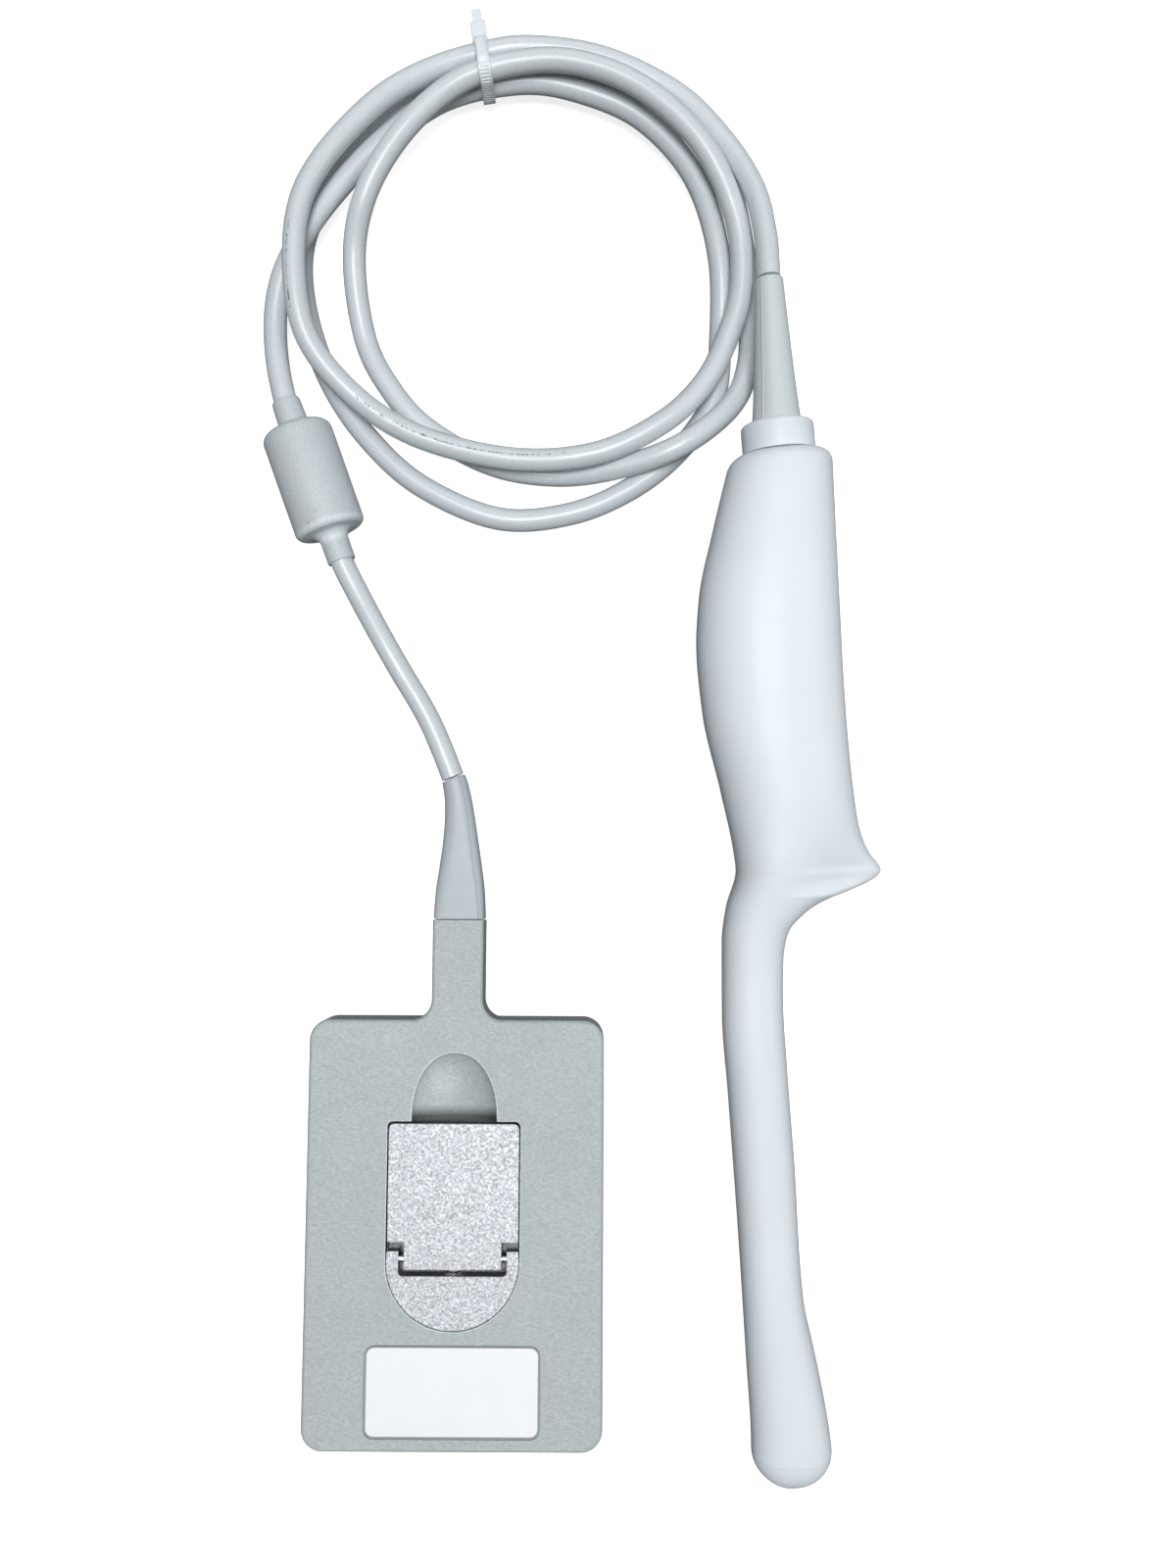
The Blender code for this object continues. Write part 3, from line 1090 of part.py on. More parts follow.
def add_latch(materials, parent):
    """Rotor plate in the round well, lever on its hinge pin, and the turned spindle under the rotor."""
    centre = (LATCH_X, LATCH_Y)
    pin_y = LATCH_Y + PIN_Y
    pin_z = LATCH_TOP_Z - LEVER_THICK / 2
    above = LATCH_TOP_Z + 2.0
    rotor_outline = circle(LATCH_RADIUS - LATCH_GAP, centre, 48)
    chamfered = circle(LATCH_RADIUS - LATCH_GAP - LEVER_EDGE, centre, 48)
    edge_z = LATCH_TOP_Z - LEVER_EDGE
    disc = stack([(rotor_outline, DISC_BOTTOM_Z), (rotor_outline, edge_z), (chamfered, LATCH_TOP_Z)])
    rotor = add_mesh("latch_rotor", *disc, materials["latch_silver"], parent)
    ear_top = LATCH_Y + EAR_TOP_Y
    span = 2 * LATCH_RADIUS + 4.0
    seat = rectangle(span, span, 0.0, (LATCH_X, ear_top + span / 2))
    cut(rotor, add_cutter("lever_seat", seat, DISC_TOP_Z, above, parent))
    notch_low, notch_high = LATCH_Y + NOTCH_BOTTOM_Y, LATCH_Y + NOTCH_TOP_Y
    notch_centre = (LATCH_X, (notch_low + notch_high) / 2)
    notch = rectangle(NOTCH_WIDTH, notch_high - notch_low, NOTCH_CORNER, notch_centre, 3)
    cut(rotor, add_cutter("tongue_notch", notch, NOTCH_FLOOR_Z, above, parent))
    boss_hole = circle(SPINDLE_BOSS_RADIUS + FACE_GAP, centre, 24)
    cut(rotor, add_cutter("boss_hole", boss_hole, DISC_BOTTOM_Z - 1.0, NOTCH_FLOOR_Z + 1.0, parent))
    half_pin = NOTCH_WIDTH / 2 + PIN_HOLE_DEPTH
    cut(rotor, add_cross_rod("pin_hole", PIN_RADIUS + 0.15, half_pin, (LATCH_X, pin_y, pin_z), parent))
    pin = add_cross_rod("latch_pin", PIN_RADIUS, half_pin - PIN_END_GAP, (LATCH_X, pin_y, pin_z), parent)
    pin.data.materials.append(materials["steel"])

    hinge = add_empty("latch_hinge", (LATCH_X, pin_y, pin_z), parent=parent)
    side = LATCH_RADIUS - LATCH_GAP - 0.05
    tongue = TONGUE_WIDTH / 2
    top = LEVER_LENGTH - PIN_Y
    shoulder = LEVER_SHOULDER_Y - PIN_Y
    tail = TONGUE_END_Y - PIN_Y

    def lever_outline(inset):
        low, high, wide, narrow = shoulder + inset, top - inset, side - inset, tongue - inset
        return rounded_outline([
            (-wide, low, LEVER_LOW_CORNER), (-narrow, low, 0.0), (-narrow, tail + inset, LEVER_LOW_CORNER),
            (narrow, tail + inset, LEVER_LOW_CORNER), (narrow, low, 0.0), (wide, low, LEVER_LOW_CORNER),
            (wide, high, LEVER_CORNER), (-wide, high, LEVER_CORNER),
        ], 3)

    half = LEVER_THICK / 2
    levels = [(lever_outline(LEVER_EDGE), -half), (lever_outline(0.0), -half + LEVER_EDGE),
              (lever_outline(0.0), half - LEVER_EDGE), (lever_outline(LEVER_EDGE), half)]
    lever = add_mesh("latch_lever", *stack(levels), materials["latch_silver"], hinge)
    relief_size = (2 * (side - LEVER_RIM), top - shoulder - 2 * LEVER_RIM)
    relief = rectangle(*relief_size, 2.0, (0.0, (top + shoulder) / 2), 3)
    cut(lever, add_cutter("lever_relief", relief, -half - 1.0, -half + LEVER_RELIEF, hinge))
    cut(lever, add_cross_rod("lever_bore", PIN_RADIUS + RUNNING_GAP, tongue + 2.0, (0.0, 0.0, 0.0), hinge))
    add_spindle(materials, parent)


def add_cross_rod(name, radius, half_length, place, parent):
    """A rod along the frame's own x, centred on place."""
    profile = [(0.0, -half_length), (radius, -half_length), (radius, half_length), (0.0, half_length)]
    points, faces = turned(profile, 16)
    points = np.asarray(points, float)[:, [1, 0, 2]]
    return add_mesh(name, points, faces, None, parent, place)


def add_spindle(materials, parent):
    """Turned spindle with a circlip groove, and the two-lobed foot that locks into the socket."""
    top = NOTCH_FLOOR_Z - FACE_GAP
    shoulder = DISC_BOTTOM_Z - FACE_GAP
    clip_high = SPLIT_Z + SPLIT_GAP / 2 - FACE_GAP
    clip_low = clip_high - CIRCLIP_THICK
    stem_radius = FOOT_RADIUS - FOOT_STEP
    stem_top = FOOT_THICK - FOOT_PROUD
    stem_end = FOOT_STEP - FOOT_PROUD
    lobe_top = stem_top - FOOT_UNDERCUT
    profile = [
        (0.0, top), (SPINDLE_BOSS_RADIUS, top), (SPINDLE_BOSS_RADIUS, shoulder), (SPINDLE_RADIUS, shoulder),
        (SPINDLE_RADIUS, clip_high + 0.1), (GROOVE_RADIUS, clip_high + 0.1), (GROOVE_RADIUS, clip_low - 0.1),
        (SPINDLE_RADIUS, clip_low - 0.1), (SPINDLE_RADIUS, stem_top), (stem_radius, stem_top),
        (stem_radius, stem_end), (0.0, stem_end),
    ]
    points, faces = turned(profile, 20)
    place = (LATCH_X, LATCH_Y, 0.0)
    spindle = add_mesh("latch_spindle", upright(points), faces, materials["steel"], parent, place)
    lobes = rectangle(2 * FOOT_LOBE_REACH, FOOT_LOBE_WIDTH, FOOT_LOBE_CORNER, (LATCH_X, LATCH_Y), 4)
    cut(spindle, add_cutter("foot_lobes", lobes, -FOOT_PROUD, lobe_top, parent), "UNION")
    disc = circle(FOOT_RADIUS, (LATCH_X, LATCH_Y), 24)
    cut(spindle, add_cutter("foot_disc", disc, -FOOT_PROUD, lobe_top, parent), "UNION")
    clip = [(GROOVE_RADIUS + 0.3, clip_low), (CIRCLIP_RADIUS, clip_low), (CIRCLIP_RADIUS, clip_high),
            (GROOVE_RADIUS + 0.3, clip_high)]
    points, faces = turned(clip, 20)
    add_mesh("spindle_circlip", upright(points), faces, materials["steel"], parent, place)


def add_label(materials, parent):
    low = CASE_HEIGHT - LABEL_RECESS + LABEL_GAP * 0.8
    size = (LABEL_SIZE[0] - 2 * LABEL_GAP, LABEL_SIZE[1] - 2 * LABEL_GAP)
    outline = rectangle(*size, LABEL_CORNER - LABEL_GAP, (0.0, LABEL_CENTRE_Y), 4)
    plate = add_cutter("label_plate", outline, low, low + LABEL_THICK, parent)
    plate.data.materials.append(materials["label_white"])


def add_connector_boot(frame_matrix, materials):
    """Boot lofted along a curve from the neck's end to the cable's end, from a rounded oblong to a circle."""
    rotation = np.array(frame_matrix.to_3x3())
    place = np.array(frame_matrix.translation) / MM
    neck = np.array((0.0, CASE_LENGTH / 2 + NECK_LENGTH + FACE_GAP, (NECK_BOTTOM_Z + CASE_HEIGHT) / 2))
    start = rotation @ neck + place
    start_way = rotation @ np.array((0.0, 1.0, 0.0))
    cable_end, cable_before = (np.array(point) for point in (CABLE_ROUTE[-1], CABLE_ROUTE[-2]))
    end_way = (cable_before - cable_end) / np.linalg.norm(cable_before - cable_end)
    end = cable_end - end_way * FACE_GAP * 1.5
    count = len(BOOT_WIDTHS)
    part = np.linspace(0.0, 1.0, count)[:, None]
    pull, tug = start_way * BOOT_NECK_PULL, end_way * BOOT_CABLE_PULL
    middle = ((2 * part ** 3 - 3 * part ** 2 + 1) * start + (part ** 3 - 2 * part ** 2 + part) * pull
              + (3 * part ** 2 - 2 * part ** 3) * end + (part ** 3 - part ** 2) * tug)
    way = ((6 * part ** 2 - 6 * part) * start + (3 * part ** 2 - 4 * part + 1) * pull
           + (6 * part - 6 * part ** 2) * end + (3 * part ** 2 - 2 * part) * tug)
    angle = np.arange(20) * 2 * math.pi / 20
    rings = []
    for index in range(count):
        ahead = way[index] / np.linalg.norm(way[index])
        across = np.cross(ahead, (0.0, 0.0, 1.0))
        across /= np.linalg.norm(across)
        up = np.cross(across, ahead)
        power = BOOT_SQUARENESS[index]
        cosine, sine = np.cos(angle), np.sin(angle)
        u = np.sign(cosine) * np.abs(cosine) ** power * BOOT_WIDTHS[index] / 2
        v = np.sign(sine) * np.abs(sine) ** power * BOOT_HEIGHTS[index] / 2
        rings.append(middle[index] + u[:, None] * across + v[:, None] * up)
    add_mesh("connector_boot", *loft(rings), materials["boot_grey"], sharp=50.0)


def add_connector(materials):
    tilt, height = connector_pose()
    frame = add_empty("connector", (*CONNECTOR_PLACE, height), (tilt, 0.0, CONNECTOR_TURN))
    bpy.context.view_layer.update()
    channel = add_cover(materials, frame)
    add_base(channel, materials, frame)
    add_screws(materials, frame)
    add_boards(materials, frame)
    add_latch(materials, frame)
    add_label(materials, frame)
    add_connector_boot(frame.matrix_world, materials)


def main():
    clear_scene()
    materials = make_materials()
    add_handset(materials)
    add_cable(materials)
    add_cable_tie(materials)
    add_ferrite(materials)
    add_connector(materials)


main()
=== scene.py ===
"""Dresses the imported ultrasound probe: fine surfaces, finishes, light, floor and camera.

Sizes are in millimetres unless a line says otherwise, and make_piece turns them into metres. The handset lies
along +Y with its tip at the low end, the connector lies beside it, and z = 0 is the table.
"""
import math

import bmesh
import bpy
import numpy as np
from mathutils import Euler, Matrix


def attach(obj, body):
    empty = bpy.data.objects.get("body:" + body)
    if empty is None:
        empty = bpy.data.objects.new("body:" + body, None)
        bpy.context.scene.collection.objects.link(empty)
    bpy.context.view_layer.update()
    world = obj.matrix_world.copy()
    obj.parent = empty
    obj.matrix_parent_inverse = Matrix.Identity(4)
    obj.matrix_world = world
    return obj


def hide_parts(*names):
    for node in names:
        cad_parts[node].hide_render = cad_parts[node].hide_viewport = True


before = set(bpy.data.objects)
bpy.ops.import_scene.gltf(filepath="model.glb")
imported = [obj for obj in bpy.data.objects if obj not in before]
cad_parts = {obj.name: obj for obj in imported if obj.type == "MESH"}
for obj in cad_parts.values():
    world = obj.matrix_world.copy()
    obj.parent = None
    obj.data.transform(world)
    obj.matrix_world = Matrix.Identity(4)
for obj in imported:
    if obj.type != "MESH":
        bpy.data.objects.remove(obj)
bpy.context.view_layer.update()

bl_info = {
    "name": "Ultrasound probe dresser",
    "version": (1, 0, 0),
    "blender": (4, 5, 0),
    "location": "View3D > Sidebar > Probe",
    "description": "Builds the visible surfaces and finishes of an ultrasound transducer probe",
    "category": "Object",
}

MM = 0.001

# Handset form, in its own frame: x across, v along from the tip, w through the depth
TIP_Y = -176.7
TIP_ROUND = 11.0
TIP_X = 1.3
LEFT_TIP_POWER = 0.62
RIGHT_TIP_POWER = 0.5
LENS_SEAT_V = 9.5
SHOULDER_V = 303.4
SHOULDER_ROUND = 4.0
END_TURN = math.radians(5.0)
END_SLOPE_START_V = 262.0
SHELL_WALL = 2.2
END_WALL = 3.5
SECTION_ROUNDNESS = 0.88
LEFT_EDGE = (
    (11.0, -10.2), (37.9, -11.8), (78.3, -14.5), (117.3, -17.49), (140.5, -19.28), (162.1, -19.4),
    (171.8, -18.22), (182.5, -15.35), (187.6, -15.96), (205.4, -19.82), (229.0, -25.35),
    (249.2, -27.14), (261.9, -26.42), (282.0, -22.51), (304.7, -17.2),
)
RIGHT_EDGE = (
    (11.0, 13.5), (14.9, 13.1), (25.9, 11.3), (45.5, 7.2), (54.3, 5.2), (71.6, 3.5), (92.6, 2.3),
    (124.0, -0.2), (147.1, -1.6), (156.9, -1.5), (162.9, -0.7), (166.1, 0.5), (169.5, 3.5),
    (172.4, 7.0), (174.9, 11.6), (177.6, 18.6), (179.6, 23.3), (181.3, 25.9), (183.0, 26.9),
    (184.2, 26.4), (188.2, 23.38), (193.6, 20.9), (199.9, 19.41), (230.7, 15.95), (263.6, 13.86),
    (304.7, 11.5),
)
CREST_LINE = (
    (0.0, 1.3), (12.7, 1.8), (58.7, -4.2), (98.7, -7.0), (146.7, -10.4), (156.7, -10.8), (164.7, -9.5),
    (173.7, -5.5), (182.7, -3.0), (198.7, -1.5), (228.7, -4.4), (250.7, -5.6), (304.7, -2.8),
)
HALF_DEPTH = ((11.0, 8.6), (148.7, 8.6), (163.7, 9.5), (188.7, 13.5), (248.7, 16.0), (304.7, 13.5))
SPUR_THICK = 11.0
SPUR_START_REACH = 20.0
SPUR_FULL_REACH = 29.0
SPUR_CORE_REACH = 13.0
SPUR_FLANK = 0.8
LENS_WALL = 1.6
SEAM_IN = 0.12
SEAM_DEEP = 0.25

# Cable outlet of the handset
FACE_GAP = 0.3
COLLAR_X = -3.34
COLLAR_RADIUS = 10.475
COLLAR_LENGTH = 8.4
COLLAR_ROUND = 1.5
COLLAR_SPIGOT_RADIUS = 7.2
COLLAR_FLANGE_RADIUS = 9.0
COLLAR_FLANGE = 3.0
COLLAR_BORE = 4.2
BOOT_BASE_RADIUS = 7.2
BOOT_SEAT_DEPTH = 3.3
BOOT_END_RADIUS = 4.05
BOOT_LENGTH = 41.9
BOOT_END_TRIM = 0.6
BOOT_TAPER_TRIM = 0.8
BOOT_END_ROUND = 0.3
BOOT_TAPER_POWER = 0.78
BOOT_LEAN = 1.16

# Cable, its route in metres as the source has it
CABLE_RADIUS = 3.4
CABLE_ROUTE_M = (
    (-0.00655, 0.17685, 0.0196), (-0.0074, 0.19, 0.0184), (-0.0106, 0.2046, 0.0159),
    (-0.0193, 0.2197, 0.0134), (-0.0327, 0.2337, 0.0121), (-0.0539, 0.2442, 0.0118),
    (-0.0758, 0.2473, 0.012), (-0.0919, 0.2448, 0.01215), (-0.1078, 0.2383, 0.0138),
    (-0.1212, 0.2285, 0.0158), (-0.1359, 0.2111, 0.0178), (-0.1426, 0.195, 0.0184),
    (-0.143, 0.1729, 0.0177), (-0.138, 0.1571, 0.0156), (-0.1232, 0.1418, 0.0125), (-0.1053, 0.1324, 0.011),
    (-0.0793, 0.1267, 0.0112), (-0.0557, 0.1282, 0.0129), (-0.0365, 0.1373, 0.0132),
    (-0.0246, 0.1488, 0.0123), (-0.0177, 0.1621, 0.0121), (-0.0136, 0.1775, 0.0129),
    (-0.0156, 0.197, 0.0144), (-0.0259, 0.2173, 0.0169), (-0.0435, 0.2331, 0.0173),
    (-0.0634, 0.2405, 0.017), (-0.0825, 0.24, 0.0161), (-0.0981, 0.2339, 0.0161), (-0.1129, 0.2201, 0.0162),
    (-0.1235, 0.2035, 0.0139), (-0.128, 0.1873, 0.0076), (-0.1256, 0.1656, 0.0037),
    (-0.1186, 0.1509, 0.0036), (-0.1071, 0.138, 0.0036), (-0.0874, 0.1271, 0.0036), (-0.067, 0.1238, 0.004),
    (-0.0478, 0.1256, 0.008), (-0.031, 0.131, 0.0114), (-0.0164, 0.143, 0.009), (-0.0105, 0.1574, 0.0048),
    (-0.0104, 0.1739, 0.0036), (-0.0119, 0.1918, 0.0036), (-0.018, 0.2142, 0.0036),
    (-0.0338, 0.2331, 0.0037), (-0.055, 0.2444, 0.0042), (-0.0797, 0.2458, 0.00485),
    (-0.0996, 0.2407, 0.0047), (-0.1159, 0.2321, 0.0037), (-0.1303, 0.2177, 0.0036),
    (-0.1406, 0.2024, 0.0036), (-0.1445, 0.1883, 0.0036), (-0.1424, 0.17, 0.0036), (-0.135, 0.1503, 0.0036),
    (-0.1233, 0.1336, 0.0036), (-0.108, 0.1203, 0.0036), (-0.0856, 0.1109, 0.0036),
    (-0.0647, 0.1121, 0.0036), (-0.0468, 0.1192, 0.0036), (-0.0321, 0.1304, 0.0036),
    (-0.0212, 0.1459, 0.0036), (-0.019, 0.1632, 0.0047), (-0.0197, 0.1885, 0.0074),
    (-0.0271, 0.2115, 0.0079), (-0.0422, 0.2283, 0.0082), (-0.0609, 0.2366, 0.0085),
    (-0.0786, 0.2389, 0.0089), (-0.1007, 0.234, 0.00905), (-0.1192, 0.2212, 0.0092),
    (-0.1339, 0.2052, 0.0101), (-0.143, 0.1918, 0.011), (-0.1492, 0.1786, 0.0105),
    (-0.1509, 0.1632, 0.0097), (-0.1479, 0.1445, 0.0104), (-0.1395, 0.12065, 0.0104),
    (-0.13442, 0.10623, 0.0104), (-0.1311, 0.0968, 0.0104), (-0.1268, 0.0878, 0.0088),
    (-0.1223, 0.0789, 0.0064), (-0.1182, 0.0712, 0.0046), (-0.1139, 0.0636, 0.0037),
    (-0.1094, 0.0562, 0.0036), (-0.1056, 0.0491, 0.0036), (-0.1023, 0.0415, 0.0036),
    (-0.0991, 0.0333, 0.0037),
)
STEPS_PER_POINT = 12
CABLE_SIDES = 28

# Cable tie
TIE_PLACE = (-88.8, 240.6)
TIE_TURN = math.radians(8.6)
TIE_STRANDS = ((3.5, 4.9), (4.9, 12.05), (-2.15, 16.0), (-2.95, 8.95))
TIE_GAP = 0.65
TIE_THICK = 0.7
TIE_WIDTH = 3.6
TIE_HEAD = (4.6, 6.6, 4.0)
TIE_HEAD_HEIGHT = 9.0
TIE_TAIL_LENGTH = 4.1
TIE_RIB_PITCH = 0.95
TIE_RIB_HEIGHT = 0.26

# Ferrite on the lead
FERRITE_TOP = (-147.9, 144.5)
FERRITE_BOTTOM = (-131.1, 96.8)
FERRITE_RADIUS = 10.4
FERRITE_START = 9.0
FERRITE_BODY = 32.4
FERRITE_TOP_ROUND = 2.8
FERRITE_LOW_ROUND = 2.0
FERRITE_CUFF = ((4.0, 0.0), (4.15, 1.0), (4.3, 3.0), (4.45, 8.6))
FERRITE_NECK_RADIUS = 4.15
FERRITE_BORE_RADIUS = 3.6

# Connector, in its own frame: origin under the middle of the case, y towards the cable, z up through the case
CONNECTOR_PLACE = (-97.2, -99.57, 5.080143)
CONNECTOR_TURN = (math.radians(-4.824752), 0.0, math.radians(-0.3))
CASE_WIDTH = 86.1
CASE_LENGTH = 121.8
CASE_HEIGHT = 14.0
CASE_CORNER = 6.2
CASE_EDGE = 1.2
BASE_EDGE = 0.5
SPLIT_Z = 6.0
SPLIT_GAP = 0.1
CASE_WALL = 2.2
POCKET_CORNER = 14.0
NECK_WIDTH = 15.1
NECK_LENGTH = 28.98
NECK_BOTTOM_Z = 3.0
NECK_ROOT = 5.8
CHANNEL_RADIUS = 4.2
PARTING_CHAMFER = 0.25
RIM_ROUND = 0.3

# Latch, measured from the spindle axis
LATCH_X = -0.4
LATCH_Y = -8.22
LATCH_RADIUS = 19.3
LATCH_GAP = 0.3
LATCH_TOP_Z = 13.65
LEVER_THICK = 2.8
LEVER_LENGTH = 39.2
LEVER_CORNER = 1.5
LEVER_SHOULDER_Y = 5.6
LEVER_RELIEF = 1.0
TONGUE_WIDTH = 28.2
TONGUE_END_Y = -2.1
PIN_Y = 0.8
PIN_RADIUS = 1.1
PIN_HOLE_DEPTH = 1.9
EAR_TOP_Y = 3.1
NOTCH_WIDTH = 31.2
NOTCH_BOTTOM_Y = -3.9
NOTCH_TOP_Y = 4.8
NOTCH_CORNER = 1.2
DISC_TOP_Z = 10.3
DISC_BOTTOM_Z = 7.65
NOTCH_FLOOR_Z = 8.7
WELL_FLOOR_Z = 7.35
SHELF_FLOOR_Z = 10.35
SHELF_REACH = 39.95
ISLAND_RIM = 1.6
SCOOP_HALF_WIDTH = 12.45
SCOOP_LENGTH = 20.0
SCOOP_DEPTH = 3.4
SCOOP_SQUARE = 2.2
SPINDLE_RADIUS = 5.9
SPINDLE_BOSS_RADIUS = 4.3

# Label and underside of the connector
LABEL_CENTRE_Y = -44.12
LABEL_SIZE = (50.6, 26.0)
LABEL_CORNER = 3.0
LABEL_RECESS = 0.5
LABEL_GAP = 0.3
LABEL_TOP_Z = 13.95
LABEL_LOW_Z = 13.7
UNDER_RECESS = (58.0, 62.0)
UNDER_RECESS_DEPTH = 1.2
UNDER_RECESS_CORNER = 4.0
BASE_FLOOR = 3.2
CONTACT_WINDOW = (50.6, 54.6)
WINDOW_CORNER = 2.0
SCREW_PLACE = (38.0, 55.9)
SCREW_HEAD_HOLE = 2.9
SCREW_SHANK_HOLE = 1.4
SCREW_SEAT_Z = 2.6

# Boot of the connector
BOOT_WIDTHS = (15.1, 14.5, 12.6, 10.5, 8.9, 7.9, 7.3)
BOOT_HEIGHTS = (10.8, 9.7, 8.8, 8.1, 7.6, 7.3, 7.2)
BOOT_SQUARENESS = (0.35, 0.45, 0.6, 0.75, 0.88, 0.97, 1.0)
BOOT_NECK_PULL = 42.0
BOOT_CABLE_PULL = 25.0


# Finishes: distances in metres along a strip, points and reaches in metres in the row frame
GLOSS_END_V = 140.0
GLOSS_FADE = 30.0
CABLE_MARKS = (((-0.1145, 0.1355, 0.016), 0.0014),)
CABLE_SCUFFS = (
    ((0.2585, 0.2860, 0.489, 0.508, 0.016), 0.95),
    ((0.2862, 0.3250, 0.500, 0.548, 0.012), 0.7),
    ((0.2050, 0.2290, 0.440, 0.415, 0.014), 0.75),
)
FERRITE_MARKS = (
    ((-0.1378, 0.1085, 0.0205), 0.0016), ((-0.1392, 0.1052, 0.0200), 0.0010),
    ((-0.1465, 0.1335, 0.0200), 0.0010),
)
# Centre and reach of the painted highlight in the scoop.
SCOOP_GLINT = ((-0.1000, -0.0560, 0.0165), 0.0035)

# Stage, in metres
CAMERA_PLACE = (-0.05855, 0.0312, 0.386)
FLOOR_HALF = 3.0
FLOOR_Z = -0.0002
FLOOR_BOUNCE = 0.22
FLOOR_GLOW = 0.8
SIDE_LAMP_SHARE = 0.09
FAR_LAMP_SHARE = 0.09


# Settings that a user would change

class HandsetSettings(bpy.types.PropertyGroup):
    """Looks of the handset."""
    shell_colour: bpy.props.FloatVectorProperty(
        name="Shell colour", description="Colour of the moulded handset", subtype="COLOR", size=3,
        min=0.0, max=1.0, default=(0.725, 0.785, 0.83))
    shell_roughness: bpy.props.FloatProperty(
        name="Shell roughness", description="Softness of the shine on the handset", subtype="FACTOR",
        min=0.0, max=1.0, default=0.46)
    seam_gap: bpy.props.FloatProperty(
        name="Seam gap", description="Width of the gap between the two halves of the handset", unit="LENGTH",
        min=0.0, max=0.0005, default=0.00006)
    boot_colour: bpy.props.FloatVectorProperty(
        name="Boot colour", description="Colour of the rubber boot on the handset", subtype="COLOR", size=3,
        min=0.0, max=1.0, default=(0.565, 0.635, 0.65))


class CableSettings(bpy.types.PropertyGroup):
    """Looks of the cable, its tie and its ferrite."""
    cable_colour: bpy.props.FloatVectorProperty(
        name="Cable colour", description="Colour of the cable's sheath", subtype="COLOR", size=3,
        min=0.0, max=1.0, default=(0.60, 0.652, 0.685))
    ferrite_colour: bpy.props.FloatVectorProperty(
        name="Ferrite colour", description="Colour of the moulding over the ferrite", subtype="COLOR", size=3,
        min=0.0, max=1.0, default=(0.52, 0.57, 0.60))
    tie_colour: bpy.props.FloatVectorProperty(
        name="Tie colour", description="Colour of the nylon cable tie", subtype="COLOR", size=3,
        min=0.0, max=1.0, default=(0.72, 0.775, 0.81))


class ConnectorSettings(bpy.types.PropertyGroup):
    """Looks of the connector."""
    case_colour: bpy.props.FloatVectorProperty(
        name="Case colour", description="Colour of the connector's case", subtype="COLOR", size=3,
        min=0.0, max=1.0, default=(0.41, 0.465, 0.472))
    latch_colour: bpy.props.FloatVectorProperty(
        name="Latch colour", description="Colour of the latch's sparkling paint", subtype="COLOR", size=3,
        min=0.0, max=1.0, default=(0.475, 0.50, 0.527))
    boot_colour: bpy.props.FloatVectorProperty(
        name="Connector boot colour", description="Colour of the rubber boot on the connector",
        subtype="COLOR", size=3, min=0.0, max=1.0, default=(0.44, 0.50, 0.535))
    grain_depth: bpy.props.FloatProperty(
        name="Grain depth", description="Depth of the fine grain moulded into the case", unit="LENGTH",
        min=0.0, max=0.0005, default=0.00006)
    rim_round: bpy.props.FloatProperty(
        name="Rim round", description="Radius of the recesses' rims", unit="LENGTH",
        min=0.0001, max=0.001, default=0.0002)


class StageSettings(bpy.types.PropertyGroup):
    """Light, floor and camera."""
    lamp_power: bpy.props.FloatProperty(
        name="Lamp power", description="Power of the soft lamp overhead", subtype="POWER",
        min=0.0, max=500.0, default=54.0)
    sky_strength: bpy.props.FloatProperty(
        name="Sky strength", description="Strength of the even light from all round",
        min=0.0, max=5.0, default=0.045)
    floor_colour: bpy.props.FloatVectorProperty(
        name="Floor colour", description="Colour of the pale floor", subtype="COLOR", size=3,
        min=0.0, max=1.0, default=(0.82, 0.82, 0.82))
    lens_length: bpy.props.FloatProperty(
        name="Lens", description="Focal length of the camera", subtype="DISTANCE_CAMERA", unit="CAMERA",
        min=10.0, max=200.0, default=29.25)


# Shapes

def smooth_line(knots):
    """A smooth curve through (place, value) knots that never overshoots: cubic stretches whose slope at each
    knot is the weighted harmonic mean of the slopes beside it, or zero at a turning point."""
    place, value = np.array(knots, float).T
    step = np.diff(place)
    slope = np.diff(value) / step
    tangent = np.zeros_like(value)
    before, after = slope[:-1], slope[1:]
    same_way = before * after > 0
    near, far = 2 * step[1:] + step[:-1], step[1:] + 2 * step[:-1]
    safe_before = np.where(same_way, before, 1.0)
    safe_after = np.where(same_way, after, 1.0)
    tangent[1:-1] = np.where(same_way, (near + far) / (near / safe_before + far / safe_after), 0.0)
    tangent[-1] = slope[-1]

    def at(where):
        where = np.asarray(where, float)
        index = np.clip(np.searchsorted(place, where) - 1, 0, len(step) - 1)
        part = np.clip((where - place[index]) / step[index], 0.0, 1.0)
        square, cube = part ** 2, part ** 3
        return (
            (2 * cube - 3 * square + 1) * value[index]
            + (cube - 2 * square + part) * step[index] * tangent[index]
            + (3 * square - 2 * cube) * value[index + 1]
            + (cube - square) * step[index] * tangent[index + 1]
        )

    return at


def arc(centre, radius, start, end, steps):
    """Points on a circle round centre between two angles in degrees."""
    angle = np.radians(np.linspace(start, end, steps + 1))
    return np.column_stack([centre[0] + radius * np.cos(angle), centre[1] + radius * np.sin(angle)])


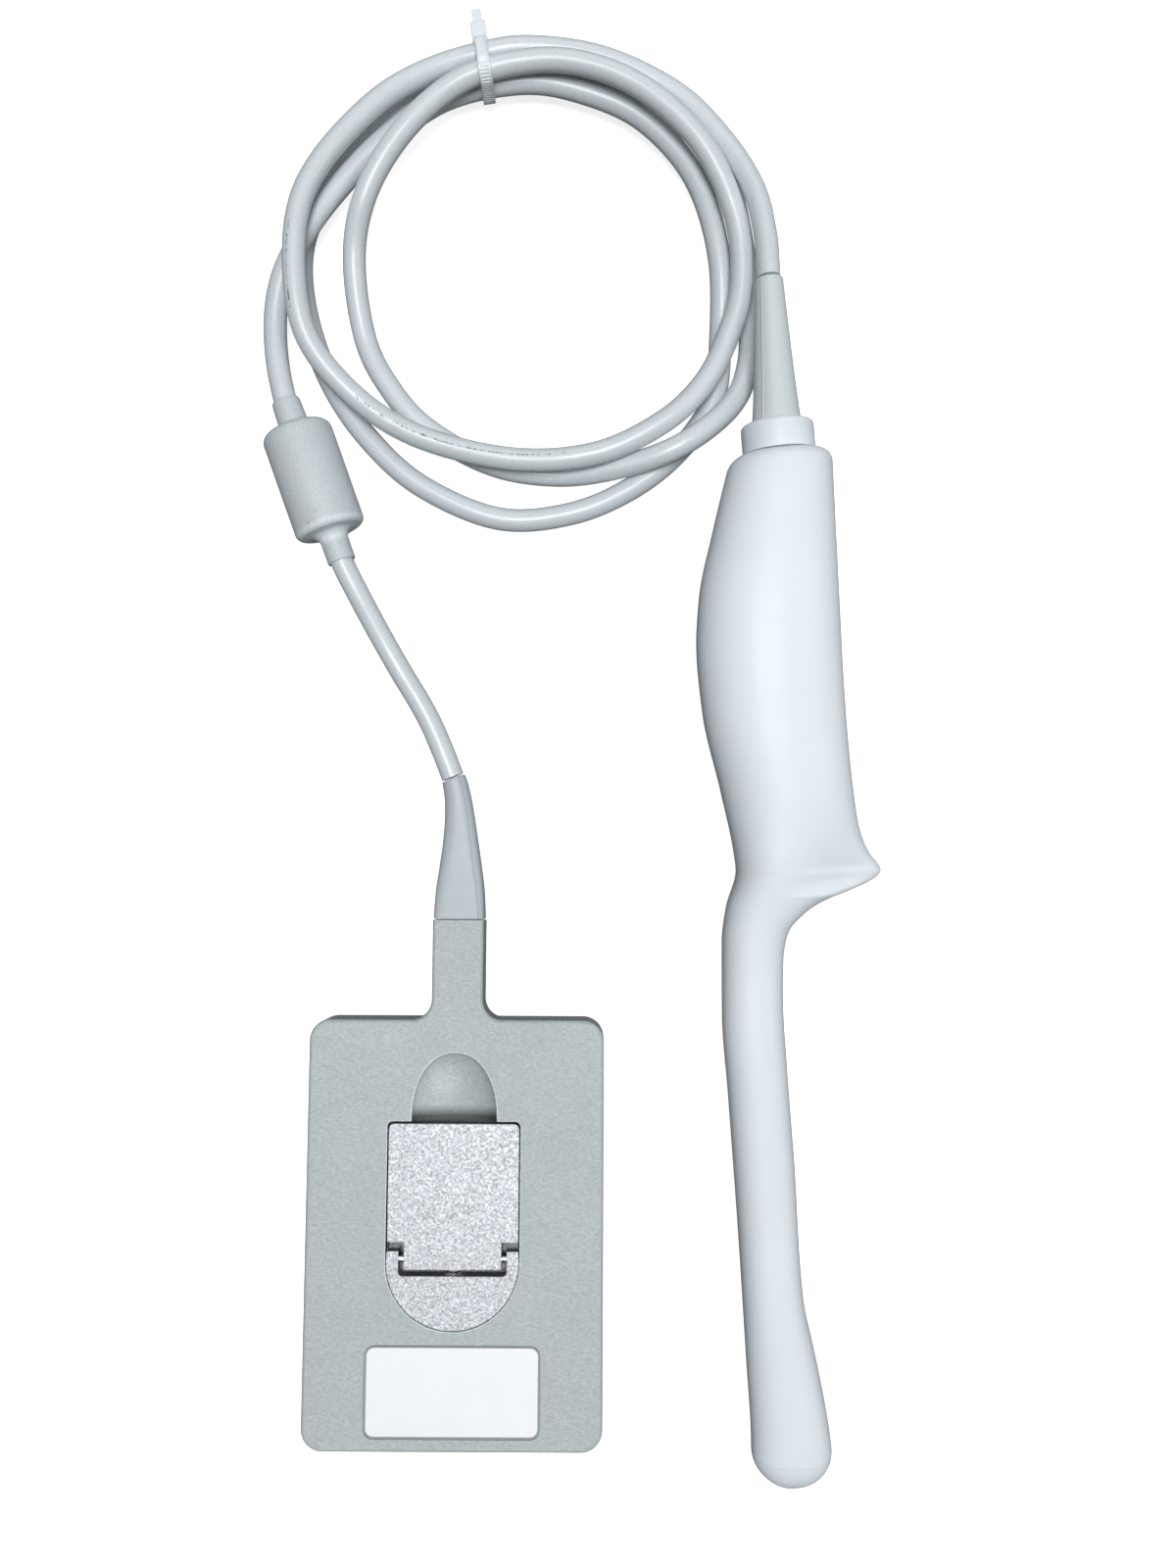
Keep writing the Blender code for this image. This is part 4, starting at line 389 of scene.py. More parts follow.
def rounded_outline(corners, steps=10):
    """A closed plan outline through (x, y, radius) corners, each an arc tangent to its two sides."""
    points = []
    for index, (x, y, radius) in enumerate(corners):
        corner = np.array((x, y), float)
        back = np.array(corners[index - 1][:2], float) - corner
        ahead = np.array(corners[(index + 1) % len(corners)][:2], float) - corner
        back /= np.linalg.norm(back)
        ahead /= np.linalg.norm(ahead)
        if radius <= 0:
            points.append(corner[None])
            continue
        half = 0.5 * math.acos(np.clip(back @ ahead, -1.0, 1.0))
        centre = corner + (back + ahead) / np.linalg.norm(back + ahead) * radius / math.sin(half)
        first = corner + back * radius / math.tan(half) - centre
        last = corner + ahead * radius / math.tan(half) - centre
        start = math.degrees(math.atan2(first[1], first[0]))
        sweep = (math.degrees(math.atan2(last[1], last[0])) - start + 180.0) % 360.0 - 180.0
        points.append(arc(centre, radius, start, start + sweep, steps))
    return np.concatenate(points)


def rectangle(width, length, corner, centre=(0.0, 0.0), steps=10):
    """Plan outline of a rectangle with rounded corners."""
    x, y = width / 2, length / 2
    corners = [(-x, -y, corner), (x, -y, corner), (x, y, corner), (-x, y, corner)]
    return rounded_outline(corners, steps) + centre


def circle(radius, centre=(0.0, 0.0), sides=96):
    """Plan outline of a circle."""
    return arc(centre, radius, 0.0, 360.0, sides)[:-1]


def levels(*pairs):
    """Rings of a stack of (outline, height) levels."""
    return np.array([np.column_stack([outline, np.full(len(outline), height)]) for outline, height in pairs])


def grid_faces(rows, columns, round_rows=False):
    """Quads of a grid whose columns close round, and whose rows do too where asked."""
    row, column = np.meshgrid(np.arange(rows if round_rows else rows - 1), np.arange(columns), indexing="ij")
    row_on, column_on = (row + 1) % rows, (column + 1) % columns
    corners = (row * columns + column, row * columns + column_on,
               row_on * columns + column_on, row_on * columns + column)
    return np.stack(corners, -1).reshape(-1, 4)


def loft(rings):
    """A solid through closed rings (rows, sides, 3): quads between the rings and one face over each end."""
    rows, sides = rings.shape[:2]
    faces = grid_faces(rows, sides).tolist()
    faces.append(list(range(sides - 1, -1, -1)))
    faces.append(list(range((rows - 1) * sides, rows * sides)))
    return rings.reshape(-1, 3), faces


def strip_uv(rings):
    """Texture places of a loft's corners: u runs round each ring from 0 to 1, v along it in metres."""
    rows, sides = rings.shape[:2]
    middle = rings.mean(1)
    along = np.concatenate([[0.0], np.cumsum(np.linalg.norm(np.diff(middle, axis=0), axis=1))]) * MM
    row, side = np.meshgrid(np.arange(rows - 1), np.arange(sides), indexing="ij")
    u = np.stack([side, side + 1, side + 1, side], -1) / sides
    v = np.stack([along[row], along[row], along[row + 1], along[row + 1]], -1)
    quads = np.stack([u, v], -1).reshape(-1, 2)
    caps = np.zeros((2 * sides, 2))
    caps[sides:, 1] = along[-1]
    return np.concatenate([quads, caps])


def turned(profile, sides=96, closed=False):
    """A solid turned round Y: the point (radius, y) of the profile goes to (r cos a, y, r sin a)."""
    radius, y = np.array(profile, float).T
    angle = np.arange(sides) * 2 * math.pi / sides
    points = np.stack([radius[:, None] * np.cos(angle), np.repeat(y[:, None], sides, 1),
                       radius[:, None] * np.sin(angle)], -1)
    return points.reshape(-1, 3), grid_faces(len(profile), sides, closed).tolist()


def handset_edges(v):
    """Left edge, right edge and half depth at v: curves through measured knots, which close as powers of the
    distance to the tip and turn in by a quarter circle at the shoulder."""
    v = np.asarray(v, float)
    near_tip = 1.0 - (np.clip(TIP_ROUND - v, 0.0, TIP_ROUND) / TIP_ROUND) ** 2
    body_v = np.maximum(v, TIP_ROUND)
    left = TIP_X + (left_line(body_v) - TIP_X) * near_tip ** LEFT_TIP_POWER
    right = TIP_X + (right_line(body_v) - TIP_X) * near_tip ** RIGHT_TIP_POWER
    depth = depth_line(body_v) * near_tip ** 0.5
    into_round = np.clip(v - (SHOULDER_V - SHOULDER_ROUND), 0.0, SHOULDER_ROUND)
    inset = SHOULDER_ROUND - np.sqrt(SHOULDER_ROUND ** 2 - into_round ** 2)
    return left + inset, right - inset, depth - inset


def cavity_edges(v):
    """The same for the hollow: the outer form shrunk by the wall, which leaves the spur solid."""
    offsets = np.linspace(-SHELL_WALL, SHELL_WALL, 9)
    moved = np.clip(np.asarray(v)[..., None] + offsets, 0.0, SHOULDER_V)
    left, right, depth = handset_edges(moved)
    inward = np.sqrt(SHELL_WALL ** 2 - offsets ** 2)
    core_limit = crest_line(v) + SPUR_CORE_REACH
    return (left + inward).max(-1), np.minimum((right - inward).min(-1), core_limit), (depth - inward).min(-1)


def skin_points(v, edges, angles, with_spur=True):
    """A surface over (v, angle): x goes from the right edge over the crest to the left edge as a power of
    the cosine, w rises as the same power of the sine, and on the spur's flank w falls to a thin lip."""
    left, right, depth = (np.asarray(edge)[:, None] for edge in edges)
    middle = np.clip(crest_line(v)[:, None], left + 0.3 * (right - left), right - 0.3 * (right - left))
    cosine, sine = np.cos(angles)[None, :], np.sin(angles)[None, :]
    across = np.abs(cosine) ** SECTION_ROUNDNESS
    reach = np.where(cosine >= 0, right - middle, middle - left)
    x = middle + np.sign(cosine) * reach * across
    dome = np.abs(sine) ** SECTION_ROUNDNESS
    lip = np.clip(SPUR_THICK / 2 / np.maximum(depth, 1e-6), 0.0, 1.0)
    fall = np.clip(across / SPUR_FLANK, 0.0, 1.0)
    eased = 1.0 - fall ** 2 * (3.0 - 2.0 * fall)
    flank = lip * np.sqrt(np.clip(1.0 - across ** 4, 0.0, 1.0)) + (1.0 - lip) * eased
    share = np.clip((right - middle - SPUR_START_REACH) / (SPUR_FULL_REACH - SPUR_START_REACH), 0.0, 1.0)
    share = np.where(cosine > 0, share, 0.0) * (1.0 if with_spur else 0.0)
    w = depth * (dome * (1.0 - share) + flank * share)
    return np.stack([x, np.broadcast_to(np.asarray(v)[:, None], x.shape), w], -1)


left_line = smooth_line(LEFT_EDGE)
right_line = smooth_line(RIGHT_EDGE)
crest_line = smooth_line(CREST_LINE)
depth_line = smooth_line(HALF_DEPTH)


def handset_place():
    """Turn and place of the handset's frame, where its belly and its tip both touch the table."""
    v = np.concatenate([np.linspace(4.0, 60.0, 57), np.linspace(180.0, 300.0, 121)])
    depth = handset_edges(v)[2]
    is_tip = v < 100.0
    tilt = 0.0
    for _ in range(6):
        reach = depth * math.cos(tilt) - v * math.sin(tilt)
        tip = np.argmax(np.where(is_tip, reach, -1e9))
        belly = np.argmax(np.where(is_tip, -1e9, reach))
        tilt = math.asin((depth[belly] - depth[tip]) * math.cos(tilt) / (v[belly] - v[tip]))
    height = float((depth * math.cos(tilt) - v * math.sin(tilt)).max())
    return np.array(Euler((tilt, 0.0, 0.0)).to_matrix()), np.array((0.0, TIP_Y, height))


def placed(points, place):
    """Points of a frame, turned and moved into the row frame."""
    turn, origin = place
    return np.asarray(points, float) @ turn.T + origin


def slope_end(points):
    """Moves v in proportion to x near the cable's end, so that the shoulder is square to the outlet."""
    share = (points[..., 1] - END_SLOPE_START_V) / (SHOULDER_V - SHOULDER_ROUND - END_SLOPE_START_V)
    sloped = points.copy()
    sloped[..., 1] += math.tan(END_TURN) * np.clip(share, 0.0, 1.0) * (points[..., 0] - COLLAR_X)
    return sloped


def outlet_place():
    """The handset's frame turned by the outlet's angle about the middle of the shoulder."""
    turn, origin = handset_place()
    outlet_turn = turn @ np.array(Euler((0.0, 0.0, END_TURN)).to_matrix())
    return outlet_turn, turn @ np.array((COLLAR_X, SHOULDER_V, 0.0)) + origin


def through_points(points, steps):
    """A smooth curve through the points: on each stretch a cubic whose end slopes are half the chord
    between the neighbours."""
    points = np.array(points, float)
    padded = np.vstack([2 * points[0] - points[1], points, 2 * points[-1] - points[-2]])
    part = (np.arange(steps) / steps)[None, :, None]
    a, b, c, d = (padded[start:len(points) - 1 + start, None] for start in range(4))
    curve = 0.5 * (2 * b + (c - a) * part + (2 * a - 5 * b + 4 * c - d) * part ** 2
                   + (3 * b - a - 3 * c + d) * part ** 3)
    return np.vstack([curve.reshape(-1, 3), points[-1:]])


def carried(path, half_width, half_height, power, sides):
    """Rings along a path, each u = half width times cos^power a and v = half height times sin^power a, with u
    level and v square to the path. The rings start and end at their lowest point."""
    way = np.gradient(path, axis=0)
    way /= np.linalg.norm(way, axis=1)[:, None]
    across = np.cross(way, (0.0, 0.0, 1.0))
    across /= np.linalg.norm(across, axis=1)[:, None]
    up = np.cross(across, way)
    angle = np.arange(sides) * 2 * math.pi / sides - math.pi / 2
    cosine, sine = np.cos(angle)[None, :], np.sin(angle)[None, :]
    rows = np.ones((len(path), 1))
    power = rows * np.reshape(power, (-1, 1))
    u = np.sign(cosine) * np.abs(cosine) ** power * (rows * np.reshape(half_width, (-1, 1)))
    v = np.sign(sine) * np.abs(sine) ** power * (rows * np.reshape(half_height, (-1, 1)))
    return path[:, None] + u[..., None] * across[:, None] + v[..., None] * up[:, None]


def quarter(radius, steps=6):
    """(inset, drop) pairs of a quarter round that turns from an upright wall into a level top."""
    angle = np.linspace(0.0, math.pi / 2, steps + 1)
    return [(radius * (1 - math.cos(a)), radius * (1 - math.sin(a))) for a in angle]


# Mesh objects

def make_piece(name, points, faces, material, body="probe", stands_for=(), sharp=35.0, uv=None):
    """A shown piece with outward faces, from points in millimetres in the row frame."""
    made = make_mesh_object(name, points, faces, sharp, uv)
    made.data.materials.append(material)
    finish_piece(made, body, stands_for)
    return made


def finish_piece(made, body, stands_for):
    """Puts a piece on its body, in the place of CAD nodes."""
    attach(made, body)
    if stands_for:
        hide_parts(*stands_for)


def make_mesh_object(name, points, faces, sharp=35.0, uv=None):
    """A smooth closed mesh with its sharp edges marked."""
    mesh = bpy.data.meshes.new(name)
    mesh.from_pydata((np.asarray(points, float) * MM).tolist(), [], faces)
    if uv is not None:
        mesh.uv_layers.new(name="Strip").data.foreach_set("uv", np.asarray(uv, np.float32).ravel())
    close_mesh(mesh)
    mesh.shade_smooth()
    mesh.set_sharp_from_angle(angle=math.radians(sharp))
    made = bpy.data.objects.new(name, mesh)
    bpy.context.scene.collection.objects.link(made)
    return made


def close_mesh(mesh):
    """Merges doubles and turns the faces outwards."""
    build = bmesh.new()
    build.from_mesh(mesh)
    bmesh.ops.remove_doubles(build, verts=build.verts, dist=1e-4 * MM)
    bmesh.ops.recalc_face_normals(build, faces=build.faces)
    build.to_mesh(mesh)
    build.free()


def cut_mesh(made, cutters):
    """The mesh that a list of (kind, solid) cutters leaves of an object, each an exact Boolean, in order."""
    tools = []
    for number, (kind, shape) in enumerate(cutters):
        tool = make_mesh_object(f"{made.name}_tool_{number}", *shape)
        boolean = made.modifiers.new(tool.name, "BOOLEAN")
        boolean.object = tool
        boolean.operation = kind
        boolean.solver = "EXACT"
        tools.append(tool)
    bpy.context.view_layer.update()
    solved = bpy.data.meshes.new_from_object(made.evaluated_get(bpy.context.evaluated_depsgraph_get()))
    made.modifiers.clear()
    for tool in tools:
        bpy.data.objects.remove(tool)
    return solved


def carve(name, solid, cutters, material, body="probe", stands_for=(), sharp=35.0):
    """A piece cut from a solid with a list of (kind, solid) cutters."""
    made = make_mesh_object(name, *solid)
    solved = cut_mesh(made, cutters)
    made.data = solved
    solved.name = name
    close_mesh(solved)
    solved.materials.clear()
    solved.materials.append(material)
    solved.shade_smooth()
    solved.set_sharp_from_angle(angle=math.radians(sharp))
    weighted = made.modifiers.new("Face weighted normals", "WEIGHTED_NORMAL")
    weighted.keep_sharp = True
    finish_piece(made, body, stands_for)


# Materials

class Finish:
    """A Principled material with short ways to add nodes to it."""

    def __init__(self, name, colour, roughness, **uniform):
        self.material = bpy.data.materials.new(name)
        self.material.use_nodes = True
        self.tree = self.material.node_tree
        self.shader = self.tree.nodes["Principled BSDF"]
        self.colour = (*colour, 1.0)
        self.shader.inputs["Base Color"].default_value = self.colour
        self.shader.inputs["Roughness"].default_value = roughness
        for socket, value in uniform.items():
            self.shader.inputs[socket.replace("_", " ")].default_value = value
        places = self.add("TexCoord")
        self.place = places.outputs["Object"]
        self.strip = places.outputs["UV"]
        self.last_normal = None

    def add(self, kind, inputs=None, **settings):
        node = self.tree.nodes.new("ShaderNode" + kind)
        for key, value in settings.items():
            setattr(node, key, value)
        for key, value in (inputs or {}).items():
            if isinstance(value, bpy.types.NodeSocket):
                self.tree.links.new(value, node.inputs[key])
            else:
                node.inputs[key].default_value = value
        return node

    def noise(self, scale, detail=2.0, roughness=0.5, where=None):
        settings = {"Vector": where or self.place, "Scale": scale, "Detail": detail, "Roughness": roughness}
        return self.add("TexNoise", settings).outputs["Fac"]

    def math(self, operation, a, b=0.0):
        return self.add("Math", {0: a, 1: b}, operation=operation).outputs[0]

    def ramp(self, value, low, high, to_low=0.0, to_high=1.0):
        limits = {"Value": value, "From Min": low, "From Max": high, "To Min": to_low, "To Max": to_high}
        return self.add("MapRange", limits).outputs["Result"]

    def scaled(self, colour, factor):
        """A colour times a number that changes from place to place."""
        return self.add("VectorMath", {0: colour, "Scale": factor}, operation="SCALE").outputs["Vector"]

    def product(self, *factors):
        result = factors[0]
        for factor in factors[1:]:
            result = self.math("MULTIPLY", result, factor)
        return result

    def specks(self, cell, radius, share):
        """1 within radius of the middles of a share of scattered cells, all in metres."""
        cells = self.add("TexVoronoi", {"Vector": self.place, "Scale": 1.0 / cell})
        inside = self.math("LESS_THAN", cells.outputs["Distance"], radius / cell)
        hue = self.add("SeparateColor", {0: cells.outputs["Color"]}).outputs[0]
        return self.math("MULTIPLY", inside, self.math("LESS_THAN", hue, share))

    def scuff(self, start, end, first_share, last_share, half_width):
        """1 on a thin broken line along a strip, between two distances along it and two shares round it."""
        share, along = self.add("SeparateXYZ", {0: self.strip}).outputs[:2]
        line = self.ramp(along, start, end, first_share, last_share)
        away = self.math("ABSOLUTE", self.math("SUBTRACT", share, line))
        inside = self.product(self.math("GREATER_THAN", along, start), self.math("LESS_THAN", along, end))
        broken = self.ramp(self.noise(700.0, 3.0, 0.7), 0.47, 0.55)
        return self.product(self.ramp(away, half_width * 0.5, half_width, 1.0, 0.0), inside, broken)

    def in_frame(self, place, turn):
        """x, y and z in metres in a frame with that place in millimetres and that turn."""
        inputs = {"Vector": self.place, "Location": tuple(part * MM for part in place), "Rotation": turn}
        local = self.add("Mapping", inputs, vector_type="TEXTURE").outputs["Vector"]
        return self.add("SeparateXYZ", {0: local}).outputs[:3]

    def near(self, centre, reach):
        """1 within reach of a point in metres, and 0 from twice that on."""
        away = self.add("VectorMath", {0: self.place, 1: centre}, operation="DISTANCE").outputs["Value"]
        return self.ramp(away, reach, 2 * reach, 1.0, 0.0)

    def mix(self, share, first, second):
        node = self.add("Mix", data_type="RGBA")
        for index, value in ((0, share), (6, first), (7, second)):
            if isinstance(value, bpy.types.NodeSocket):
                self.tree.links.new(value, node.inputs[index])
            else:
                node.inputs[index].default_value = value
        return node.outputs[2]

    def paint(self, colour):
        self.tree.links.new(colour, self.shader.inputs["Base Color"])

    def rough(self, value):
        self.tree.links.new(value, self.shader.inputs["Roughness"])

    def bump(self, height, depth, strength=1.0):
        """Relief of that depth in metres, on top of what is there."""
        inputs = {"Height": height, "Distance": depth, "Strength": strength}
        if self.last_normal is not None:
            inputs["Normal"] = self.last_normal
        self.last_normal = self.add("Bump", inputs).outputs["Normal"]
        self.tree.links.new(self.last_normal, self.shader.inputs["Normal"])


def tinted(colour, factor):
    return (*(min(1.0, part * factor) for part in colour[:3]), 1.0)


def moulded(name, colour, roughness, grain_scale, grain_depth, grain_shade=0.03, specks=0.0, marks=(),
            **uniform):
    """Moulded plastic or rubber: faint cloudiness, fine grain in shade and relief, sparse dark specks, and
    small scuffs at given places. Its shade stays open for more."""
    made = Finish(name, colour, roughness, **uniform)
    grain = made.noise(grain_scale, 3.0, 0.6)
    cloud = made.ramp(made.noise(16.0, 3.0), 0.35, 0.65, 0.975, 1.025)
    made.shade = made.product(cloud, made.ramp(grain, 0.3, 0.7, 1.0 - grain_shade, 1.0 + grain_shade))
    if specks:
        darken(made, made.specks(0.0026, 0.00013, specks), 0.62)
    for centre, reach in marks:
        patchy = made.ramp(made.noise(2300.0, 2.0), 0.6, 0.68)
        darken(made, made.product(patchy, made.near(centre, reach)), 0.6)
    made.rough(made.ramp(made.noise(60.0, 3.0), 0.3, 0.7, roughness - 0.04, roughness + 0.05))
    made.bump(grain, grain_depth)
    return made


def darken(made, share, amount):
    """Takes that amount off the shade where share is 1. A negative amount brightens."""
    made.shade = made.math("MULTIPLY", made.shade, made.ramp(share, 0.0, 1.0, 1.0, 1.0 - amount))


def painted(made):
    """Puts the shade over the colour and returns the material."""
    made.paint(made.scaled(made.colour[:3], made.shade))
    return made.material


def handset_white():
    """White moulding with a clear gloss on the shaft that fades towards the handle."""
    settings = bpy.context.scene.probe_handset
    made = moulded("moulded handset white", settings.shell_colour, settings.shell_roughness, 1500.0, 0.000008,
                   0.008, 0.1, Specular_IOR_Level=0.25, Coat_Roughness=0.14)
    along = made.add("SeparateXYZ", {0: made.place}).outputs[1]
    start, end = (TIP_Y + GLOSS_END_V) * MM, (TIP_Y + GLOSS_END_V + GLOSS_FADE) * MM
    made.tree.links.new(made.ramp(along, start, end, 0.42, 0.05), made.shader.inputs["Coat Weight"])
    return painted(made)


def boot_rubber(name, colour, seam_share):
    """Rubber with a raised mould line along a strip."""
    made = moulded(name, colour, 0.5, 2200.0, 0.00002, 0.03, 0.25)
    share = made.add("SeparateXYZ", {0: made.strip}).outputs[0]
    seam = made.math("ABSOLUTE", made.math("SUBTRACT", share, seam_share))
    line = made.ramp(seam, 0.003, 0.009, 1.0, 0.0)
    made.bump(line, 0.00015)
    made.shade = made.math("MULTIPLY", made.shade, made.ramp(line, 0.0, 1.0, 1.0, 1.06))
    return painted(made)


def handset_boot_rubber():
    return boot_rubber("handset boot rubber", bpy.context.scene.probe_handset.boot_colour, 0.62)


def connector_boot_rubber():
    return boot_rubber("connector boot rubber", bpy.context.scene.probe_connector.boot_colour, 0.42)


def cable_sheath():
    """Grey sheath with one scuffed spot and three thin broken scuff lines along it."""
    colour = bpy.context.scene.probe_cable.cable_colour
    made = moulded("cable sheath", colour, 0.4, 2300.0, 0.00002, 0.085, 0.5, CABLE_MARKS, Coat_Weight=0.3,
                   Coat_Roughness=0.2)
    for line, amount in CABLE_SCUFFS:
        darken(made, made.scuff(*line), amount)
    return painted(made)


def ferrite_rubber():
    """Grey moulding with a painted highlight round the lower end of its barrel and a line of painted shade in
    the corner where the cuff meets the barrel.
    """
    colour = bpy.context.scene.probe_cable.ferrite_colour
    made = moulded("ferrite moulding", colour, 0.5, 1900.0, 0.00003, 0.1, 0.5, FERRITE_MARKS)
    along = made.in_frame(*ferrite_frame())[1]
    end = (FERRITE_START + FERRITE_BODY) * MM
    # Painted highlight round the rounded lower end of the barrel.
    lower_rim_highlight = made.product(made.ramp(along, end - 0.0026, end - 0.0010),
                        made.ramp(along, end + 0.002, end + 0.004, 1.0, 0.0))
    darken(made, lower_rim_highlight, -0.34)
    # Painted shade in the corner where the cuff meets the barrel.
    above = made.ramp(along, (FERRITE_START - 1.3) * MM, (FERRITE_START - 0.3) * MM)
    below = made.ramp(along, (FERRITE_START + 0.1) * MM, (FERRITE_START + 0.5) * MM, 1.0, 0.0)
    darken(made, made.product(above, below), 0.5)
    return painted(made)


def tie_nylon():
    return painted(moulded("tie nylon", bpy.context.scene.probe_cable.tie_colour, 0.3, 1200.0, 0.00001, 0.02,
                           Subsurface_Weight=0.15, Subsurface_Scale=0.001))


def case_plastic():
    """Grained plastic, with painted shade on the walls down in the latch's recess, in the scoop next to the
    lever and on the scoop's right side, a painted glint in the scoop, and painted highlights along the rims
    of the recess and the scoop."""
    settings = bpy.context.scene.probe_connector
    made = moulded("grained case plastic", settings.case_colour, 0.55, 1250.0, settings.grain_depth, 0.0, 0.2)
    x, y, z = made.in_frame(CONNECTOR_PLACE, CONNECTOR_TURN)
    aside = made.math("ABSOLUTE", made.math("SUBTRACT", x, LATCH_X * MM))
    shelf_top = (LATCH_Y + SHELF_REACH) * MM
    skew = {"Vector": made.place, "Rotation": (0.0, 0.0, 0.7), "Scale": (0.62, 1.35, 1.0)}
    leather = made.noise(1350.0, 4.0, 0.65, made.add("Mapping", skew).outputs["Vector"])
    made.shade = made.math("MULTIPLY", made.shade, made.ramp(leather, 0.34, 0.66, 0.86, 1.15))
    made.bump(leather, settings.grain_depth)
    # Painted shade: the walls and shelf go nearly black down in the latch's recess, between the ears and the
    # shelf's top.
    by_latch = made.product(made.math("LESS_THAN", aside, 0.0212),
                            made.math("GREATER_THAN", y, (LATCH_Y - LATCH_RADIUS - 1.5) * MM))
    deep = made.ramp(z, (CASE_HEIGHT - 0.9) * MM, (CASE_HEIGHT - 0.3) * MM, 1.0, 0.0)
    recess = made.product(by_latch, deep, made.math("LESS_THAN", y, shelf_top + 0.0001))
    darken(made, made.product(recess, made.math("GREATER_THAN", y, (LATCH_Y + EAR_TOP_Y) * MM)), 0.93)
    # Painted shade in the scoop: dark next to the lever, and darker towards its right side.
    bowl = made.product(made.math("LESS_THAN", aside, 0.0128), made.math("GREATER_THAN", y, shelf_top),
                        made.ramp(z, (CASE_HEIGHT - 0.7) * MM, (CASE_HEIGHT - 0.35) * MM, 1.0, 0.0))
    darken(made, made.product(bowl, made.ramp(y, shelf_top + 0.0012, shelf_top + 0.0044, 1.0, 0.0)), 0.9)
    darken(made, made.product(bowl, made.ramp(x, -0.006, 0.012)), 0.22)
    # Painted highlight: a glint in the scoop.
    darken(made, made.product(bowl, made.near(*SCOOP_GLINT)), -0.22)
    # Painted highlight along the rims of the latch's recess and of the scoop.
    rim = made.product(made.ramp(z, (CASE_HEIGHT - 0.3) * MM, (CASE_HEIGHT - 0.15) * MM),
                       made.math("LESS_THAN", z, (CASE_HEIGHT - 0.002) * MM), by_latch,
                       made.math("LESS_THAN", y, shelf_top + (SCOOP_LENGTH + 1.0) * MM))
    darken(made, rim, -0.75)
    return painted(made)


def latch_paint():
    """Metallic paint: bright and dark flakes a few tenths of a millimetre across, with the relief of its
    orange peel. Below the faces that show at rest it has painted shade, and a painted highlight runs along
    its rims."""
    colour = bpy.context.scene.probe_connector.latch_colour
    made = Finish("latch sparkle paint", colour, 0.5, Metallic=0.2)
    flakes = made.noise(1400.0, 2.0, 0.75)
    bluish = (colour[0] * 0.97, colour[1] * 0.97, colour[2] * 1.03)
    yellowish = (colour[0] * 1.03, colour[1] * 1.02, colour[2] * 0.98)
    hues = made.mix(made.noise(1900.0, 1.0), tinted(bluish, 1.0), tinted(yellowish, 1.0))
    low = (LATCH_TOP_Z - 0.95) * MM
    height = made.in_frame(CONNECTOR_PLACE, CONNECTOR_TURN)[2]
    # Painted highlight along the rims, just below the top.
    rim_highlight = made.product(made.ramp(height, (LATCH_TOP_Z - 0.4) * MM, (LATCH_TOP_Z - 0.2) * MM),
                          made.ramp(height, (LATCH_TOP_Z - 0.05) * MM, (LATCH_TOP_Z - 0.01) * MM, 1.0, 0.0))
    # Painted shade: darker below the faces that show at rest, where the gaps are.
    face = made.ramp(height, low, (LATCH_TOP_Z - 0.35) * MM, 0.3, 1.0)
    face = made.product(face, made.ramp(rim_highlight, 0.0, 1.0, 1.0, 1.5))
    made.paint(made.scaled(hues, made.product(made.ramp(flakes, 0.36, 0.64, 0.62, 1.38), face)))
    made.rough(made.ramp(made.noise(900.0, 2.0), 0.3, 0.7, 0.38, 0.6))
    made.bump(made.noise(1100.0, 3.0, 0.6), 0.00008)
    return made.material


def label_film():
    """Bare silvery label film with a dark line along its border, which is partly a printed line and partly
    painted shade from its recess.
    """
    made = Finish("bare label film", (0.82, 0.845, 0.857), 0.36)
    inwards = made.add("SeparateXYZ", {0: made.strip}).outputs[1]
    # The dark border line is partly print and partly painted shade from the recess.
    border = made.ramp(inwards, 0.00042, 0.00055, 1.0, 0.0)
    cloud = made.ramp(made.noise(90.0, 2.0), 0.3, 0.7, 0.985, 1.01)
    shade = made.math("MULTIPLY", cloud, made.ramp(border, 0.0, 1.0, 1.0, 0.3))
    made.paint(made.scaled(made.colour[:3], shade))
    made.bump(made.noise(700.0, 2.0), 0.000004)
    return made.material


def plain_metal(name, colour, roughness, grain):
    """Turned or plated metal with fine grain in its roughness and relief."""
    made = Finish(name, colour, roughness, Metallic=1.0)
    shade = made.ramp(made.noise(grain, 3.0), 0.3, 0.7)
    made.paint(made.mix(shade, tinted(colour, 0.9), tinted(colour, 1.08)))
    made.rough(made.ramp(made.noise(grain * 1.7, 2.0), 0.3, 0.7, roughness - 0.06, roughness + 0.08))
    made.bump(made.noise(grain * 2.0, 2.0), 0.000008)
    return made.material


def bare_steel():
    return plain_metal("bare steel", (0.56, 0.57, 0.58), 0.3, 700.0)


def contact_gold():
    return plain_metal("contact gold", (0.83, 0.62, 0.28), 0.22, 900.0)


def copper_braid():
    """Braid: distorted waves along the diagonals, in relief and roughness."""
    made = Finish("copper braid", (0.72, 0.45, 0.30), 0.35, Metallic=1.0)
    inputs = {"Vector": made.place, "Scale": 900.0, "Distortion": 1.0}
    waves = made.add("TexWave", inputs, bands_direction="DIAGONAL")
    made.bump(waves.outputs["Fac"], 0.0001)
    made.rough(made.ramp(waves.outputs["Fac"], 0.0, 1.0, 0.28, 0.45))
    return made.material


def board_green():
    return painted(moulded("circuit board green", (0.03, 0.16, 0.08), 0.4, 1500.0, 0.00001))


def amber_film():
    return painted(moulded("amber film", (0.55, 0.27, 0.05), 0.35, 900.0, 0.000006))


